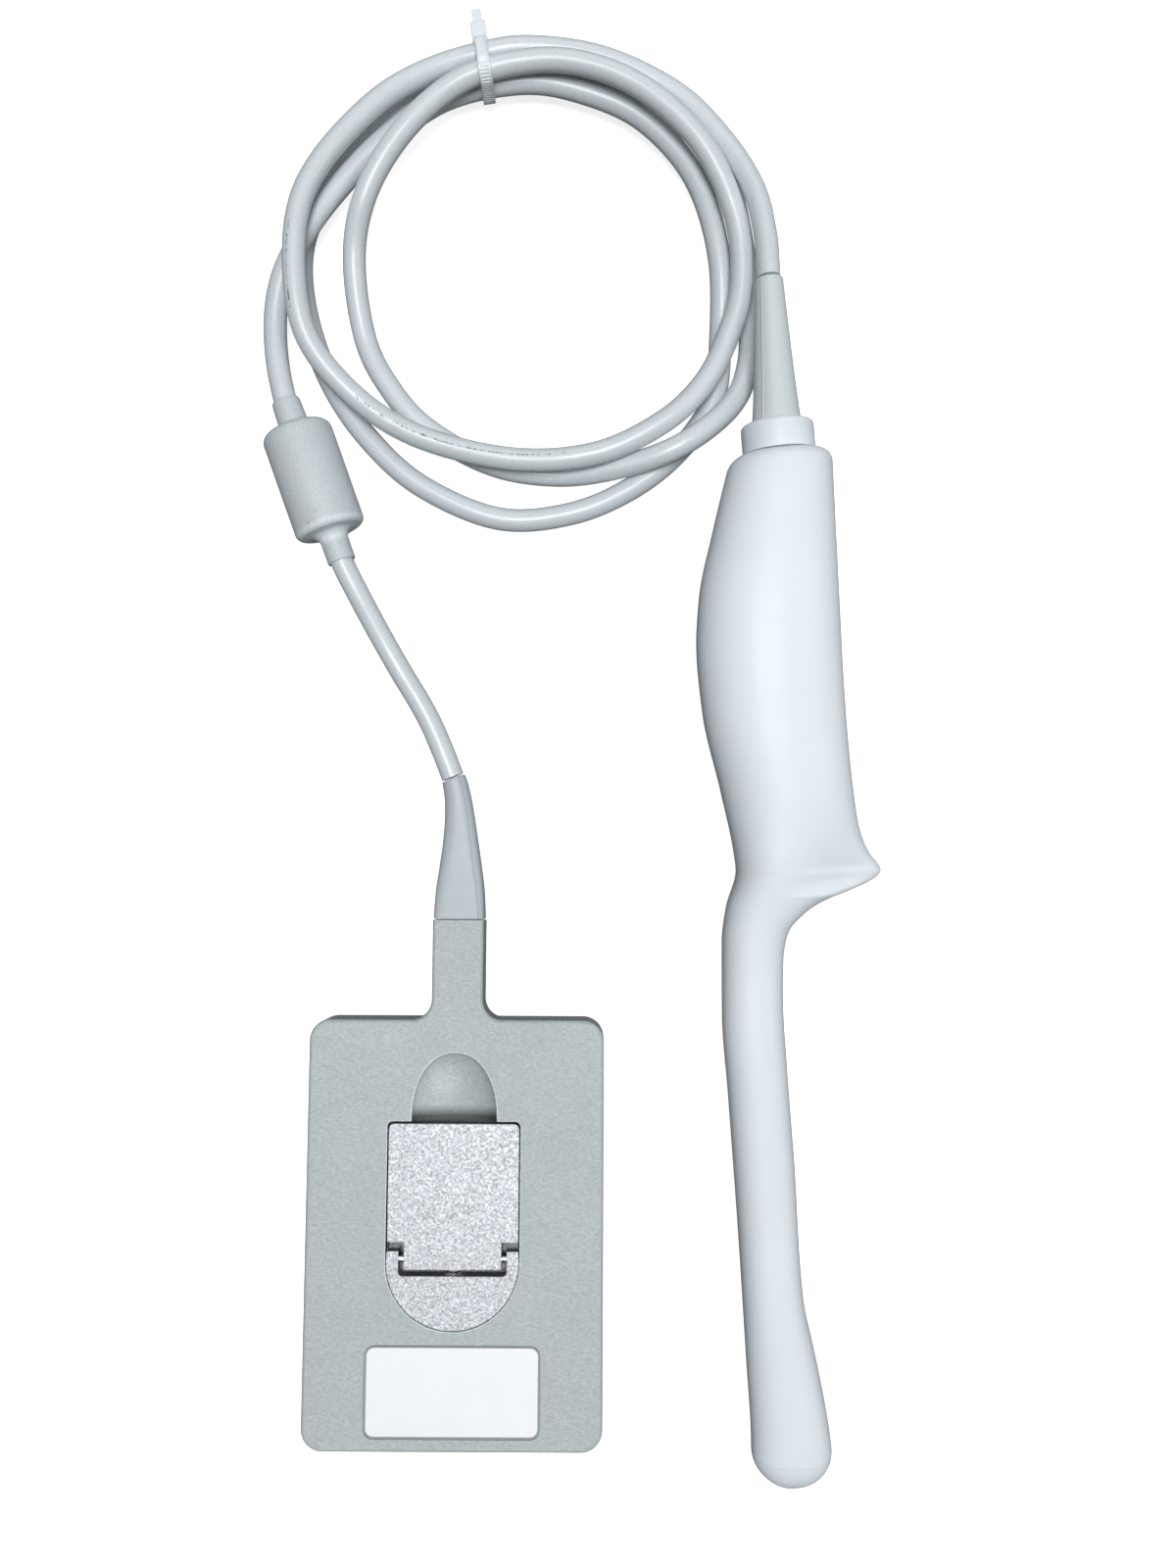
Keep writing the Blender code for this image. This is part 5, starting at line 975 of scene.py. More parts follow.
def array_ceramic():
    """Diced ceramic: fine saw cuts across the array."""
    made = Finish("diced ceramic", (0.16, 0.15, 0.14), 0.55)
    waves = made.add("TexWave", {"Vector": made.place, "Scale": 1500.0}, bands_direction="X")
    made.bump(waves.outputs["Fac"], 0.00005)
    made.rough(made.ramp(waves.outputs["Fac"], 0.0, 1.0, 0.45, 0.65))
    return made.material


def ferrite_grey():
    return painted(moulded("ferrite ceramic", (0.07, 0.07, 0.075), 0.6, 1200.0, 0.00003))


def black_plastic():
    return painted(moulded("black plastic", (0.03, 0.03, 0.032), 0.45, 1400.0, 0.00002))


def black_rubber():
    return painted(moulded("black rubber", (0.035, 0.035, 0.035), 0.75, 1100.0, 0.00003))


def finish_of(maker):
    """The material that a maker makes, made once."""
    if maker.__name__ not in made_finishes:
        made_finishes[maker.__name__] = maker()
    return made_finishes[maker.__name__]


made_finishes = {}

NODE_FINISHES = {
    "matching_layer": amber_film,
    "piezo_array": array_ceramic,
    "backing_block": black_rubber,
    "flex_circuit": amber_film,
    "termination_board": board_green,
    "cable_core": copper_braid,
    "cable_clamp": bare_steel,
    "gland_seal": black_rubber,
    "ferrite_core": ferrite_grey,
    "boot_ferrule": bare_steel,
    "lead_core": copper_braid,
    "connector_board": board_green,
    "connector_shield": bare_steel,
    "wire_header": black_plastic,
    "contact_block": black_plastic,
    "contact_array_front": contact_gold,
    "contact_array_rear": contact_gold,
    "latch_pin": bare_steel,
    "latch_spindle": bare_steel,
    "spindle_circlip": bare_steel,
    "case_screw_1": bare_steel,
    "case_screw_2": bare_steel,
    "case_screw_3": bare_steel,
    "case_screw_4": bare_steel,
}


# Handset

def build_shells():
    """Two hollow halves: outer skin and hollow as grids over (v, angle), joined along seam and ends."""
    place = handset_place()
    half_gap = bpy.context.scene.probe_handset.seam_gap / MM / 2
    angles = np.radians(np.concatenate([[0.0, 0.3, 0.8], np.linspace(2.0, 178.0, 45), [179.2, 179.7, 180.0]]))
    outer_v = np.concatenate([
        np.linspace(LENS_SEAT_V, 20.0, 16, endpoint=False),
        np.linspace(20.0, 148.0, 64, endpoint=False),
        np.linspace(148.0, 168.0, 20, endpoint=False),
        np.linspace(168.0, 196.0, 76, endpoint=False),
        np.linspace(196.0, SHOULDER_V - SHOULDER_ROUND, 54),
        SHOULDER_V - SHOULDER_ROUND + SHOULDER_ROUND * np.sin(np.radians(np.linspace(9.0, 90.0, 10))),
    ])
    outer = skin_points(outer_v, handset_edges(outer_v), angles)
    drop = np.clip(1.0 - np.abs(outer[..., 2]) / SEAM_DEEP, 0.0, 1.0) * SEAM_IN
    outer[..., 0] += np.where(np.cos(angles) > 0, -1.0, 1.0)[None, :] * drop
    cavity_end = SHOULDER_V - END_WALL
    share = (outer_v[:-2] - LENS_SEAT_V) / (outer_v[-3] - LENS_SEAT_V)
    inner_v = LENS_SEAT_V + share * (cavity_end - LENS_SEAT_V)
    inner = skin_points(inner_v, cavity_edges(inner_v), angles, with_spur=False)
    bore_radius = COLLAR_SPIGOT_RADIUS + FACE_GAP
    back = np.array((END_WALL, 0.0))[:, None]
    across = bore_radius * np.cos(angles)[None, :]
    bore = np.stack([COLLAR_X + across * math.cos(END_TURN) + back * math.sin(END_TURN),
                     SHOULDER_V + across * math.sin(END_TURN) - back * math.cos(END_TURN),
                     np.broadcast_to(bore_radius * np.sin(angles), (2, len(angles)))], -1)
    inner = np.concatenate([slope_end(inner), bore])
    rings = np.concatenate([slope_end(outer), inner[:, ::-1]], axis=1)
    rows, sides = rings.shape[:2]
    half = sides // 2
    faces = grid_faces(rows, sides)
    index = np.arange(half - 1)
    ends = [first + np.stack([index, index + 1, sides - 2 - index, sides - 1 - index], -1)
            for first in (0, (rows - 1) * sides)]
    faces = np.concatenate([faces, *ends]).tolist()
    for name, node, side in (("handset_upper_skin", "handset_shell_upper", 1.0),
                             ("handset_lower_skin", "handset_shell_lower", -1.0)):
        points = rings.reshape(-1, 3).copy()
        points[:, 2] = np.maximum(points[:, 2], half_gap) * side
        make_piece(name, placed(points, place), faces, finish_of(handset_white), stands_for=(node,),
                   sharp=50.0)


def build_tip_window():
    """The acoustic window: the tip's skin over (turn, angle), and the same shrunk about its centre inside."""
    place = handset_place()
    angles = np.arange(96) * 2 * math.pi / 96
    centre = np.array((TIP_X, TIP_ROUND, 0.0))
    skins = []
    for size in (1.0, 1.0 - LENS_WALL / TIP_ROUND):
        end = math.acos((TIP_ROUND - (LENS_SEAT_V - 0.04)) / TIP_ROUND / size)
        v = TIP_ROUND * (1.0 - np.cos(np.linspace(0.0, end, 33)))
        skin = skin_points(v, handset_edges(v), angles)
        skin[..., 2] *= np.where(np.sin(angles) < 0, -1.0, 1.0)[None, :]
        skins.append(centre + (skin - centre) * size)
    rings = np.concatenate([skins[0], skins[1][::-1]])
    faces = grid_faces(*rings.shape[:2]).tolist()
    make_piece("tip_window", placed(rings.reshape(-1, 3), place), faces, finish_of(handset_white),
               stands_for=("acoustic_lens",), sharp=60.0)


def build_collar():
    """Ring between the handset and its boot, turned from a profile with rounded outer edges."""
    start = FACE_GAP
    top = start + COLLAR_LENGTH
    flange_top = -END_WALL - FACE_GAP
    flange_low = flange_top - COLLAR_FLANGE
    seat = top - BOOT_SEAT_DEPTH
    seat_radius = BOOT_BASE_RADIUS + FACE_GAP
    low_round = 0.4
    profile = [(COLLAR_BORE, flange_low), (COLLAR_FLANGE_RADIUS, flange_low),
               (COLLAR_FLANGE_RADIUS, flange_top), (COLLAR_SPIGOT_RADIUS, flange_top),
               (COLLAR_SPIGOT_RADIUS, start)]
    profile += arc((COLLAR_RADIUS - low_round, start + low_round), low_round, -90, 0, 5).tolist()
    profile += arc((COLLAR_RADIUS - COLLAR_ROUND, top - COLLAR_ROUND), COLLAR_ROUND, 0, 90, 10).tolist()
    profile += arc((seat_radius + 0.3, top - 0.3), 0.3, 90, 180, 4).tolist()
    profile += [(seat_radius, seat), (COLLAR_BORE, seat)]
    points, faces = turned(profile, 128, closed=True)
    make_piece("cable_collar", placed(points, outlet_place()), faces, finish_of(handset_white),
               stands_for=("gland_collar",))


def build_handset_boot():
    """Tapered rubber boot: circles whose radius falls as a power of the way along, and whose centre leans."""
    top = FACE_GAP + COLLAR_LENGTH
    start = top - BOOT_SEAT_DEPTH + FACE_GAP
    end = top - BOOT_END_TRIM + BOOT_LENGTH
    edge = np.array(quarter(BOOT_END_ROUND, 5))
    round_start = end - BOOT_END_ROUND
    v = np.concatenate([[start, top - 0.8], np.linspace(top, round_start, 60), round_start + edge[1:, 0]])
    part = np.clip((v - top) / (BOOT_LENGTH - BOOT_TAPER_TRIM), 0.0, 1.0)
    radius = BOOT_BASE_RADIUS + (BOOT_END_RADIUS - BOOT_BASE_RADIUS) * part ** BOOT_TAPER_POWER
    radius[-5:] -= edge[1:, 0]
    path = np.column_stack([BOOT_LEAN * part, v, np.zeros(len(v))])
    rings = carried(path, radius, radius, 1.0, 72)
    uv = strip_uv(rings)
    points, faces = loft(placed(rings, outlet_place()))
    make_piece("handset_boot_skin", points, faces, finish_of(handset_boot_rubber),
               stands_for=("handset_boot",), sharp=60.0, uv=uv)


# Cable, tie and ferrite

def build_cable():
    """A round tube: circles square to the smooth curve through the route's points."""
    path = through_points(np.array(CABLE_ROUTE_M) / MM, STEPS_PER_POINT)
    rings = carried(path, CABLE_RADIUS, CABLE_RADIUS, 1.0, CABLE_SIDES)
    points, faces = loft(rings)
    cable = make_piece("cable_tube", points, faces, finish_of(cable_sheath), stands_for=("cable",),
                       sharp=60.0, uv=strip_uv(rings))
    return cable, path * MM


def band_loop(centres, radius, count):
    """Evenly spaced points of a band pulled tight round circles of one radius, given in turning order."""
    centres = np.array(centres, float)
    parts = []
    for index in range(len(centres)):
        into = centres[index] - centres[index - 1]
        away = centres[(index + 1) % len(centres)] - centres[index]
        first = math.degrees(math.atan2(into[1], into[0])) - 90.0
        last = math.degrees(math.atan2(away[1], away[0])) - 90.0
        parts.append(arc(centres[index], radius, first, first + (last - first + 180.0) % 360.0 - 180.0, 24))
    loop = np.concatenate(parts)
    closed = np.vstack([loop, loop[:1]])
    along = np.concatenate([[0.0], np.cumsum(np.linalg.norm(np.diff(closed, axis=0), axis=1))])
    even = np.linspace(0.0, along[-1], count, endpoint=False)
    return np.column_stack([np.interp(even, along, closed[:, 0]), np.interp(even, along, closed[:, 1])]), even


def block(width, length, height, corner, place, edge=0.35):
    """A rounded block about place: rounded rectangles stacked with a quarter round at both ends."""
    x, y, z = place
    low = [(inset, z - height / 2 + drop) for inset, drop in reversed(quarter(edge, 3))]
    high = [(inset, z + height / 2 - drop) for inset, drop in quarter(edge, 3)]
    return levels(*((rectangle(width - 2 * inset, length - 2 * inset, corner, (x, y), 4), level)
                    for inset, level in low + high))


def build_tie():
    """Nylon tie: a ribbed band round the four runs, whose outer face rises and falls along it, with the
    head and the cut tail joined on."""
    turn = np.array(Euler((0.0, 0.0, TIE_TURN)).to_matrix())
    place = (turn, np.array((*TIE_PLACE, 0.0)))
    count = 640
    inner, along = band_loop(TIE_STRANDS, CABLE_RADIUS + TIE_GAP, count)
    outer, _ = band_loop(TIE_STRANDS, CABLE_RADIUS + TIE_GAP + TIE_THICK, count)
    rib = TIE_RIB_HEIGHT * (0.5 - 0.5 * np.cos(2 * math.pi * along / TIE_RIB_PITCH)) ** 2
    outward = outer - inner
    outward /= np.linalg.norm(outward, axis=1)[:, None]
    half = TIE_WIDTH / 2
    rib_half = half - 0.65
    soft = 0.15
    section = (
        (-half, inner + outward * 0.1), (-half + soft, inner), (half - soft, inner),
        (half, inner + outward * 0.1),
        (half, outer - outward * soft), (half - soft, outer), (rib_half + 0.15, outer),
        (rib_half, outer - outward * rib[:, None]), (-rib_half, outer - outward * rib[:, None]),
        (-rib_half - 0.15, outer), (-half + soft, outer), (-half, outer - outward * soft),
    )
    rings = np.array([np.column_stack([np.full(count, x), loop]) for x, loop in section])
    points, faces = placed(rings, place).reshape(-1, 3), grid_faces(len(section), count, True).tolist()
    side = max(point[0] for point in TIE_STRANDS) + CABLE_RADIUS + TIE_GAP
    width, reach, height = TIE_HEAD
    head = block(width, reach, height, 0.7, (0.0, side + 0.3 + reach / 2, TIE_HEAD_HEIGHT))
    tail_height = TIE_HEAD_HEIGHT + 0.2 + TIE_THICK / 2
    tail = block(TIE_WIDTH * 0.8, TIE_TAIL_LENGTH + 2.0, TIE_THICK, 0.3,
                 (0.0, side + reach + TIE_TAIL_LENGTH / 2 - 1.0, tail_height), 0.15)
    carve("cable_tie_skin", (points, faces),
          [("UNION", loft(placed(head, place))), ("UNION", loft(placed(tail, place)))],
          finish_of(tie_nylon), stands_for=("cable_tie",))


def ferrite_frame():
    """Place and turn of the ferrite's frame, whose y runs along the lead."""
    way = np.subtract(FERRITE_BOTTOM, FERRITE_TOP)
    return (*FERRITE_TOP, FERRITE_RADIUS), (0.0, 0.0, math.atan2(way[1], way[0]) - math.pi / 2)


def build_ferrite():
    """Moulding over the ferrite ring: a turned profile with a cuff, a rounded barrel and a cone."""
    length = math.dist(FERRITE_TOP, FERRITE_BOTTOM)
    origin, turn = ferrite_frame()
    place = (np.array(Euler(turn).to_matrix()), np.array(origin))
    start, end = FERRITE_START, FERRITE_START + FERRITE_BODY
    cuff = smooth_line([(y, radius) for radius, y in FERRITE_CUFF])
    profile = arc((FERRITE_CUFF[0][0] - 0.35, FACE_GAP + 0.35), 0.35, -90, 0, 4).tolist()
    profile += [(float(cuff(y)), y) for y in np.linspace(FACE_GAP + 0.6, start - 0.45, 12)]
    profile += [(FERRITE_CUFF[-1][0] + 0.25, start - 0.12), (FERRITE_CUFF[-1][0] + 0.7, start)]
    top_round, low_round = FERRITE_TOP_ROUND, FERRITE_LOW_ROUND
    profile += arc((FERRITE_RADIUS - top_round, start + top_round), top_round, -90, 0, 12).tolist()
    profile += arc((FERRITE_RADIUS - low_round, end - low_round), low_round, 0, 84, 12).tolist()
    flare = smooth_line(((0.0, 6.9), (0.35, 5.9), (0.9, 5.1), (1.7, 4.45), (2.6, FERRITE_NECK_RADIUS),
                         (length - end, FERRITE_NECK_RADIUS)))
    ahead = np.concatenate([np.linspace(0.08, 2.6, 14), [length - end - 0.3]])
    profile += np.column_stack([flare(ahead), end + ahead]).tolist()
    profile += [(FERRITE_NECK_RADIUS - 0.12, length), (FERRITE_BORE_RADIUS, length),
                (FERRITE_BORE_RADIUS, FACE_GAP)]
    points, faces = turned(profile, 112, closed=True)
    make_piece("ferrite_skin", placed(points, place), faces, finish_of(ferrite_rubber),
               stands_for=("ferrite_overmould",), sharp=50.0)


# Connector

def connector_place():
    """Turn and place of the case's frame."""
    return np.array(Euler(CONNECTOR_TURN).to_matrix()), np.array(CONNECTOR_PLACE)


def case_outline(inset, with_neck=True):
    """Plan outline of the case, moved inwards by inset."""
    x, y = CASE_WIDTH / 2 - inset, CASE_LENGTH / 2 - inset
    neck, end = NECK_WIDTH / 2 - inset, CASE_LENGTH / 2 + NECK_LENGTH
    corner, root = CASE_CORNER - inset, NECK_ROOT + inset
    corners = [(-x, -y, corner), (x, -y, corner), (x, y, corner)]
    if with_neck:
        corners += [(neck, y, root), (neck, end, 0.0), (-neck, end, 0.0), (-neck, y, root)]
    return rounded_outline(corners + [(-x, y, corner)], 16)


def latch_outline(outset, top_y, side):
    """Plan of the latch's recess: straight sides from a rounded top, and a half circle below the spindle."""
    radius = side + outset
    lower = arc((LATCH_X, LATCH_Y), radius, 180.0, 360.0, 72)
    corner = LEVER_CORNER + outset
    x, y = radius, top_y + outset
    right = arc((LATCH_X + x - corner, y - corner), corner, 0.0, 90.0, 10)
    left = arc((LATCH_X - x + corner, y - corner), corner, 90.0, 180.0, 10)
    return np.concatenate([lower, right, left])


def in_case(solid):
    """A solid of the case's frame, moved into the row frame."""
    points, faces = solid
    return placed(points, connector_place()), faces


def rim_cutter(outline_of, low, rim, flare):
    """A cutter whose wall opens by a quarter round of radius flare up to the surface at height rim."""
    rings = [(outline_of(0.0), low)]
    for inset, drop in quarter(flare, 5):
        rings.append((outline_of(inset), rim - drop))
    rings.append((outline_of(flare), rim + 2.0))
    return in_case(loft(levels(*rings)))


def prism(outline, low, high):
    """An upright solid between two heights in the case's frame."""
    return in_case(loft(levels((outline, low), (outline, high))))


def rod(radius, start, end, x, z, sides=40):
    """A rod along the case's own y."""
    points, faces = turned([(0.0, start), (radius, start), (radius, end), (0.0, end)], sides)
    return in_case((points + np.array((x, 0.0, z)), faces))


def cross_rod(radius, half_length, place, sides=32):
    """A rod along the case's own x."""
    profile = [(0.0, -half_length), (radius, -half_length), (radius, half_length), (0.0, half_length)]
    points, faces = turned(profile, sides)
    return in_case((points[:, [1, 0, 2]] + np.array(place), faces))


def scoop_cutter(centre_y, flare):
    """Thumb scoop: depth falls as sqrt(1 - r^2) over a superellipse of the plan, with a rounded rim."""
    angle = np.radians(np.arange(0, 360, 3))
    x = np.sign(np.cos(angle)) * np.abs(np.cos(angle)) ** (2 / SCOOP_SQUARE)
    y = np.sign(np.sin(angle)) * np.abs(np.sin(angle)) ** (2 / SCOOP_SQUARE)
    rings = []
    for share in np.sin(np.radians(np.linspace(0.0, 82.0, 22))):
        depth = SCOOP_DEPTH * math.sqrt(1.0 - share ** 2)
        rings.append((share, 0.0, CASE_HEIGHT - depth))
    for inset, drop in quarter(flare, 4)[1:]:
        rings.append((1.0, inset, CASE_HEIGHT - drop))
    rings.append((1.0, flare, CASE_HEIGHT + 2.0))
    made = [np.column_stack([LATCH_X + x * (SCOOP_HALF_WIDTH * share + grow),
                             centre_y + y * (SCOOP_LENGTH * share + grow), np.full(len(angle), height)])
            for share, grow, height in rings]
    points, faces = np.array(made).reshape(-1, 3), grid_faces(len(made), len(angle)).tolist()
    faces.append(list(range((len(made) - 1) * len(angle), len(made) * len(angle))))
    return in_case((points, faces))


def build_cover():
    """Upper case half: a stack of outlines with a rounded top rim, carved by the latch's recess, the scoop,
    the label's recess, the hollow, the cable channel and the screw holes."""
    flare = bpy.context.scene.probe_connector.rim_round / MM
    low = SPLIT_Z + SPLIT_GAP / 2
    pairs = [(case_outline(PARTING_CHAMFER), low), (case_outline(0.0), low + PARTING_CHAMFER)]
    pairs += [(case_outline(inset), CASE_HEIGHT - drop) for inset, drop in quarter(CASE_EDGE, 9)]
    shelf_top = LATCH_Y + SHELF_REACH
    pocket = rectangle(CASE_WIDTH - 2 * CASE_WALL, CASE_LENGTH - 2 * CASE_WALL, POCKET_CORNER)
    island_top = SHELF_REACH + SCOOP_LENGTH + ISLAND_RIM
    island_low = -LATCH_RADIUS - 2.0
    island = rectangle(2 * LATCH_RADIUS + 4.0, island_top - island_low, 12.0,
                       (LATCH_X, LATCH_Y + (island_top + island_low) / 2))
    pocket_ring = levels((pocket, low - 1.0), (pocket, CASE_HEIGHT - CASE_WALL))
    hollow = make_hollow(pocket_ring, levels((island, low - 2.0), (island, CASE_HEIGHT)))

    def label_of(outset):
        return rectangle(LABEL_SIZE[0] + 2 * outset, LABEL_SIZE[1] + 2 * outset, LABEL_CORNER + outset,
                         (0.0, LABEL_CENTRE_Y))

    def recess_of(outset):
        return latch_outline(outset, shelf_top, LATCH_RADIUS)

    cutters = [
        ("DIFFERENCE", hollow),
        ("DIFFERENCE", prism(circle(LATCH_RADIUS, (LATCH_X, LATCH_Y), 144), WELL_FLOOR_Z, CASE_HEIGHT - 1.0)),
        ("DIFFERENCE", rim_cutter(recess_of, SHELF_FLOOR_Z, CASE_HEIGHT, flare)),
        ("DIFFERENCE", scoop_cutter(shelf_top - 0.4, 0.35)),
        ("DIFFERENCE", rim_cutter(label_of, CASE_HEIGHT - LABEL_RECESS, CASE_HEIGHT, 0.12)),
        ("DIFFERENCE", prism(circle(SPINDLE_RADIUS, (LATCH_X, LATCH_Y), 48), low - 1.0, WELL_FLOOR_Z + 1.0)),
        ("DIFFERENCE", rod(CHANNEL_RADIUS, CASE_LENGTH / 2 - CASE_WALL - 2.0,
                           CASE_LENGTH / 2 + NECK_LENGTH + 2.0, 0.0, (NECK_BOTTOM_Z + CASE_HEIGHT) / 2)),
    ]
    for x, y in screw_places():
        cutters.append(("DIFFERENCE", prism(circle(SCREW_SHANK_HOLE, (x, y), 20), low - 1.0, 9.9)))
    carve("case_cover_skin", in_case(loft(levels(*pairs))), cutters, finish_of(case_plastic),
          stands_for=("connector_cover",))


def make_hollow(pocket, island):
    """The pocket's solid less the island that stays under the latch."""
    outer = make_mesh_object("hollow_outer", *in_case(loft(pocket)))
    solved = cut_mesh(outer, [("DIFFERENCE", in_case(loft(island)))])
    points = np.zeros(len(solved.vertices) * 3)
    solved.vertices.foreach_get("co", points)
    faces = [list(face.vertices) for face in solved.polygons]
    bpy.data.objects.remove(outer)
    bpy.data.meshes.remove(solved)
    return points.reshape(-1, 3) / MM, faces


def screw_places():
    x, y = SCREW_PLACE
    return ((-x, -y), (x, -y), (x, y), (-x, y))


def build_base():
    """Lower case half: rounded foot edge, half neck, pocket, shallow recess below and the contact window."""
    high = SPLIT_Z - SPLIT_GAP / 2
    pairs = [(case_outline(inset, False), drop) for inset, drop in reversed(quarter(BASE_EDGE, 5))]
    pairs += [(case_outline(0.0, False), high - PARTING_CHAMFER),
              (case_outline(PARTING_CHAMFER, False), high)]
    edge, end = CASE_LENGTH / 2, CASE_LENGTH / 2 + NECK_LENGTH
    neck, inside = NECK_WIDTH / 2, CASE_LENGTH / 2 - CASE_CORNER
    wide = neck + NECK_ROOT + 6.0
    root_y = edge - 0.1
    neck_outline = rounded_outline([
        (-wide, inside, 0.0), (wide, inside, 0.0), (wide, root_y, 0.0), (neck, root_y, NECK_ROOT),
        (neck, end, 0.0), (-neck, end, 0.0), (-neck, root_y, NECK_ROOT), (-wide, root_y, 0.0),
    ], 16)
    centre = (LATCH_X, LATCH_Y)
    pocket = rectangle(CASE_WIDTH - 2 * CASE_WALL, CASE_LENGTH - 2 * CASE_WALL, POCKET_CORNER)
    under_recess = rectangle(*UNDER_RECESS, UNDER_RECESS_CORNER, centre)
    cutters = [
        ("UNION", prism(neck_outline, NECK_BOTTOM_Z, high - 0.01)),
        ("DIFFERENCE", prism(pocket, BASE_FLOOR, high + 2.0)),
        ("DIFFERENCE", prism(under_recess, -2.0, UNDER_RECESS_DEPTH)),
        ("DIFFERENCE", prism(rectangle(*CONTACT_WINDOW, WINDOW_CORNER, centre), -3.0, high + 3.0)),
        ("DIFFERENCE", rod(CHANNEL_RADIUS, CASE_LENGTH / 2 - CASE_WALL - 2.0, end + 2.0, 0.0,
                           (NECK_BOTTOM_Z + CASE_HEIGHT) / 2)),
    ]
    for x, y in screw_places():
        cutters.append(("DIFFERENCE", prism(circle(SCREW_HEAD_HOLE, (x, y), 32), -2.0, SCREW_SEAT_Z)))
        cutters.append(("DIFFERENCE", prism(circle(SCREW_SHANK_HOLE, (x, y), 20), 0.5, high + 2.0)))
    carve("case_base_skin", in_case(loft(levels(*pairs))), cutters, finish_of(case_plastic),
          stands_for=("connector_base",))


def build_latch():
    """Rotor disc with its notch and ears, and the lever plate with its tongue, both with rounded rims."""
    centre = (LATCH_X, LATCH_Y)
    radius = LATCH_RADIUS - LATCH_GAP / 2
    pairs = [(circle(radius - 0.2, centre, 160), DISC_BOTTOM_Z),
             (circle(radius, centre, 160), DISC_BOTTOM_Z + 0.2)]
    pairs += [(circle(radius - inset, centre, 160), LATCH_TOP_Z - drop)
              for inset, drop in quarter(RIM_ROUND, 5)]
    span = 2 * LATCH_RADIUS + 4.0
    ear_top = LATCH_Y + EAR_TOP_Y
    notch_low, notch_high = LATCH_Y + NOTCH_BOTTOM_Y, LATCH_Y + NOTCH_TOP_Y

    def notch_of(outset):
        return rectangle(NOTCH_WIDTH + 2 * outset, notch_high - notch_low + 2 * outset, NOTCH_CORNER + outset,
                         (LATCH_X, (notch_low + notch_high) / 2))

    pin_z = LATCH_TOP_Z - LEVER_THICK / 2
    pin_place = (LATCH_X, LATCH_Y + PIN_Y, pin_z)
    half_pin = NOTCH_WIDTH / 2 + PIN_HOLE_DEPTH
    lever_seat = rectangle(span, span, 0.0, (LATCH_X, ear_top + span / 2))
    boss = circle(SPINDLE_BOSS_RADIUS, centre, 48)
    cutters = [
        ("DIFFERENCE", prism(lever_seat, DISC_TOP_Z, LATCH_TOP_Z + 2)),
        ("DIFFERENCE", rim_cutter(notch_of, NOTCH_FLOOR_Z, LATCH_TOP_Z, 0.2)),
        ("DIFFERENCE", prism(boss, DISC_BOTTOM_Z - 1.0, NOTCH_FLOOR_Z + 1.0)),
        ("DIFFERENCE", cross_rod(PIN_RADIUS + 0.15, half_pin, pin_place)),
    ]
    carve("latch_rotor_skin", in_case(loft(levels(*pairs))), cutters, finish_of(latch_paint),
          stands_for=("latch_rotor",))

    side = LATCH_RADIUS - LATCH_GAP - 0.05
    tongue = TONGUE_WIDTH / 2
    shoulder, tail, top = (LATCH_Y + y for y in (LEVER_SHOULDER_Y, TONGUE_END_Y, LEVER_LENGTH))

    def lever_outline(inset):
        corners = [
            (-side + inset, shoulder + inset, 0.6), (-tongue + inset, shoulder + inset, 0.0),
            (-tongue + inset, tail + inset, 0.6), (tongue - inset, tail + inset, 0.6),
            (tongue - inset, shoulder + inset, 0.0), (side - inset, shoulder + inset, 0.6),
            (side - inset, top - inset, LEVER_CORNER - inset),
            (-side + inset, top - inset, LEVER_CORNER - inset),
        ]
        return rounded_outline(corners, 8) + (LATCH_X, 0.0)

    low = LATCH_TOP_Z - LEVER_THICK
    pairs = [(lever_outline(0.25), low), (lever_outline(0.0), low + 0.25)]
    pairs += [(lever_outline(inset), LATCH_TOP_Z - drop) for inset, drop in quarter(RIM_ROUND, 5)]
    relief = rectangle(2 * side - 8.0, top - shoulder - 10.0, 2.0, (LATCH_X, (top + shoulder) / 2))
    cutters = [
        ("DIFFERENCE", prism(relief, low - 1.0, low + LEVER_RELIEF)),
        ("DIFFERENCE", cross_rod(PIN_RADIUS + 0.08, tongue + 2.0, pin_place)),
    ]
    carve("latch_lever_skin", in_case(loft(levels(*pairs))), cutters, finish_of(latch_paint),
          body="latch_lever", stands_for=("latch_lever",))


def build_label():
    """Bare label plate in its recess. Its texture's v is the distance inwards from the edge in metres."""
    insets = (LABEL_GAP, LABEL_GAP, LABEL_GAP + 0.06, LABEL_GAP + 0.3, LABEL_GAP + 0.7)
    heights = (LABEL_LOW_Z, LABEL_TOP_Z - 0.06, LABEL_TOP_Z, LABEL_TOP_Z, LABEL_TOP_Z)
    outlines = [rectangle(LABEL_SIZE[0] - 2 * inset, LABEL_SIZE[1] - 2 * inset, LABEL_CORNER - inset,
                          (0.0, LABEL_CENTRE_Y)) for inset in insets]
    rings = levels(*zip(outlines, heights))
    uv = strip_uv(rings)
    sides = rings.shape[1]
    inwards = np.array(insets) * MM - LABEL_GAP * MM
    quads = np.stack([inwards[:-1], inwards[:-1], inwards[1:], inwards[1:]], -1)
    uv[:, 1] = np.concatenate([np.repeat(quads, sides, axis=0).ravel(), np.zeros(sides),
                               np.full(sides, inwards[-1])])
    points, faces = in_case(loft(rings))
    make_piece("label_skin", points, faces, finish_of(label_film), stands_for=("label_plate",),
               uv=uv)


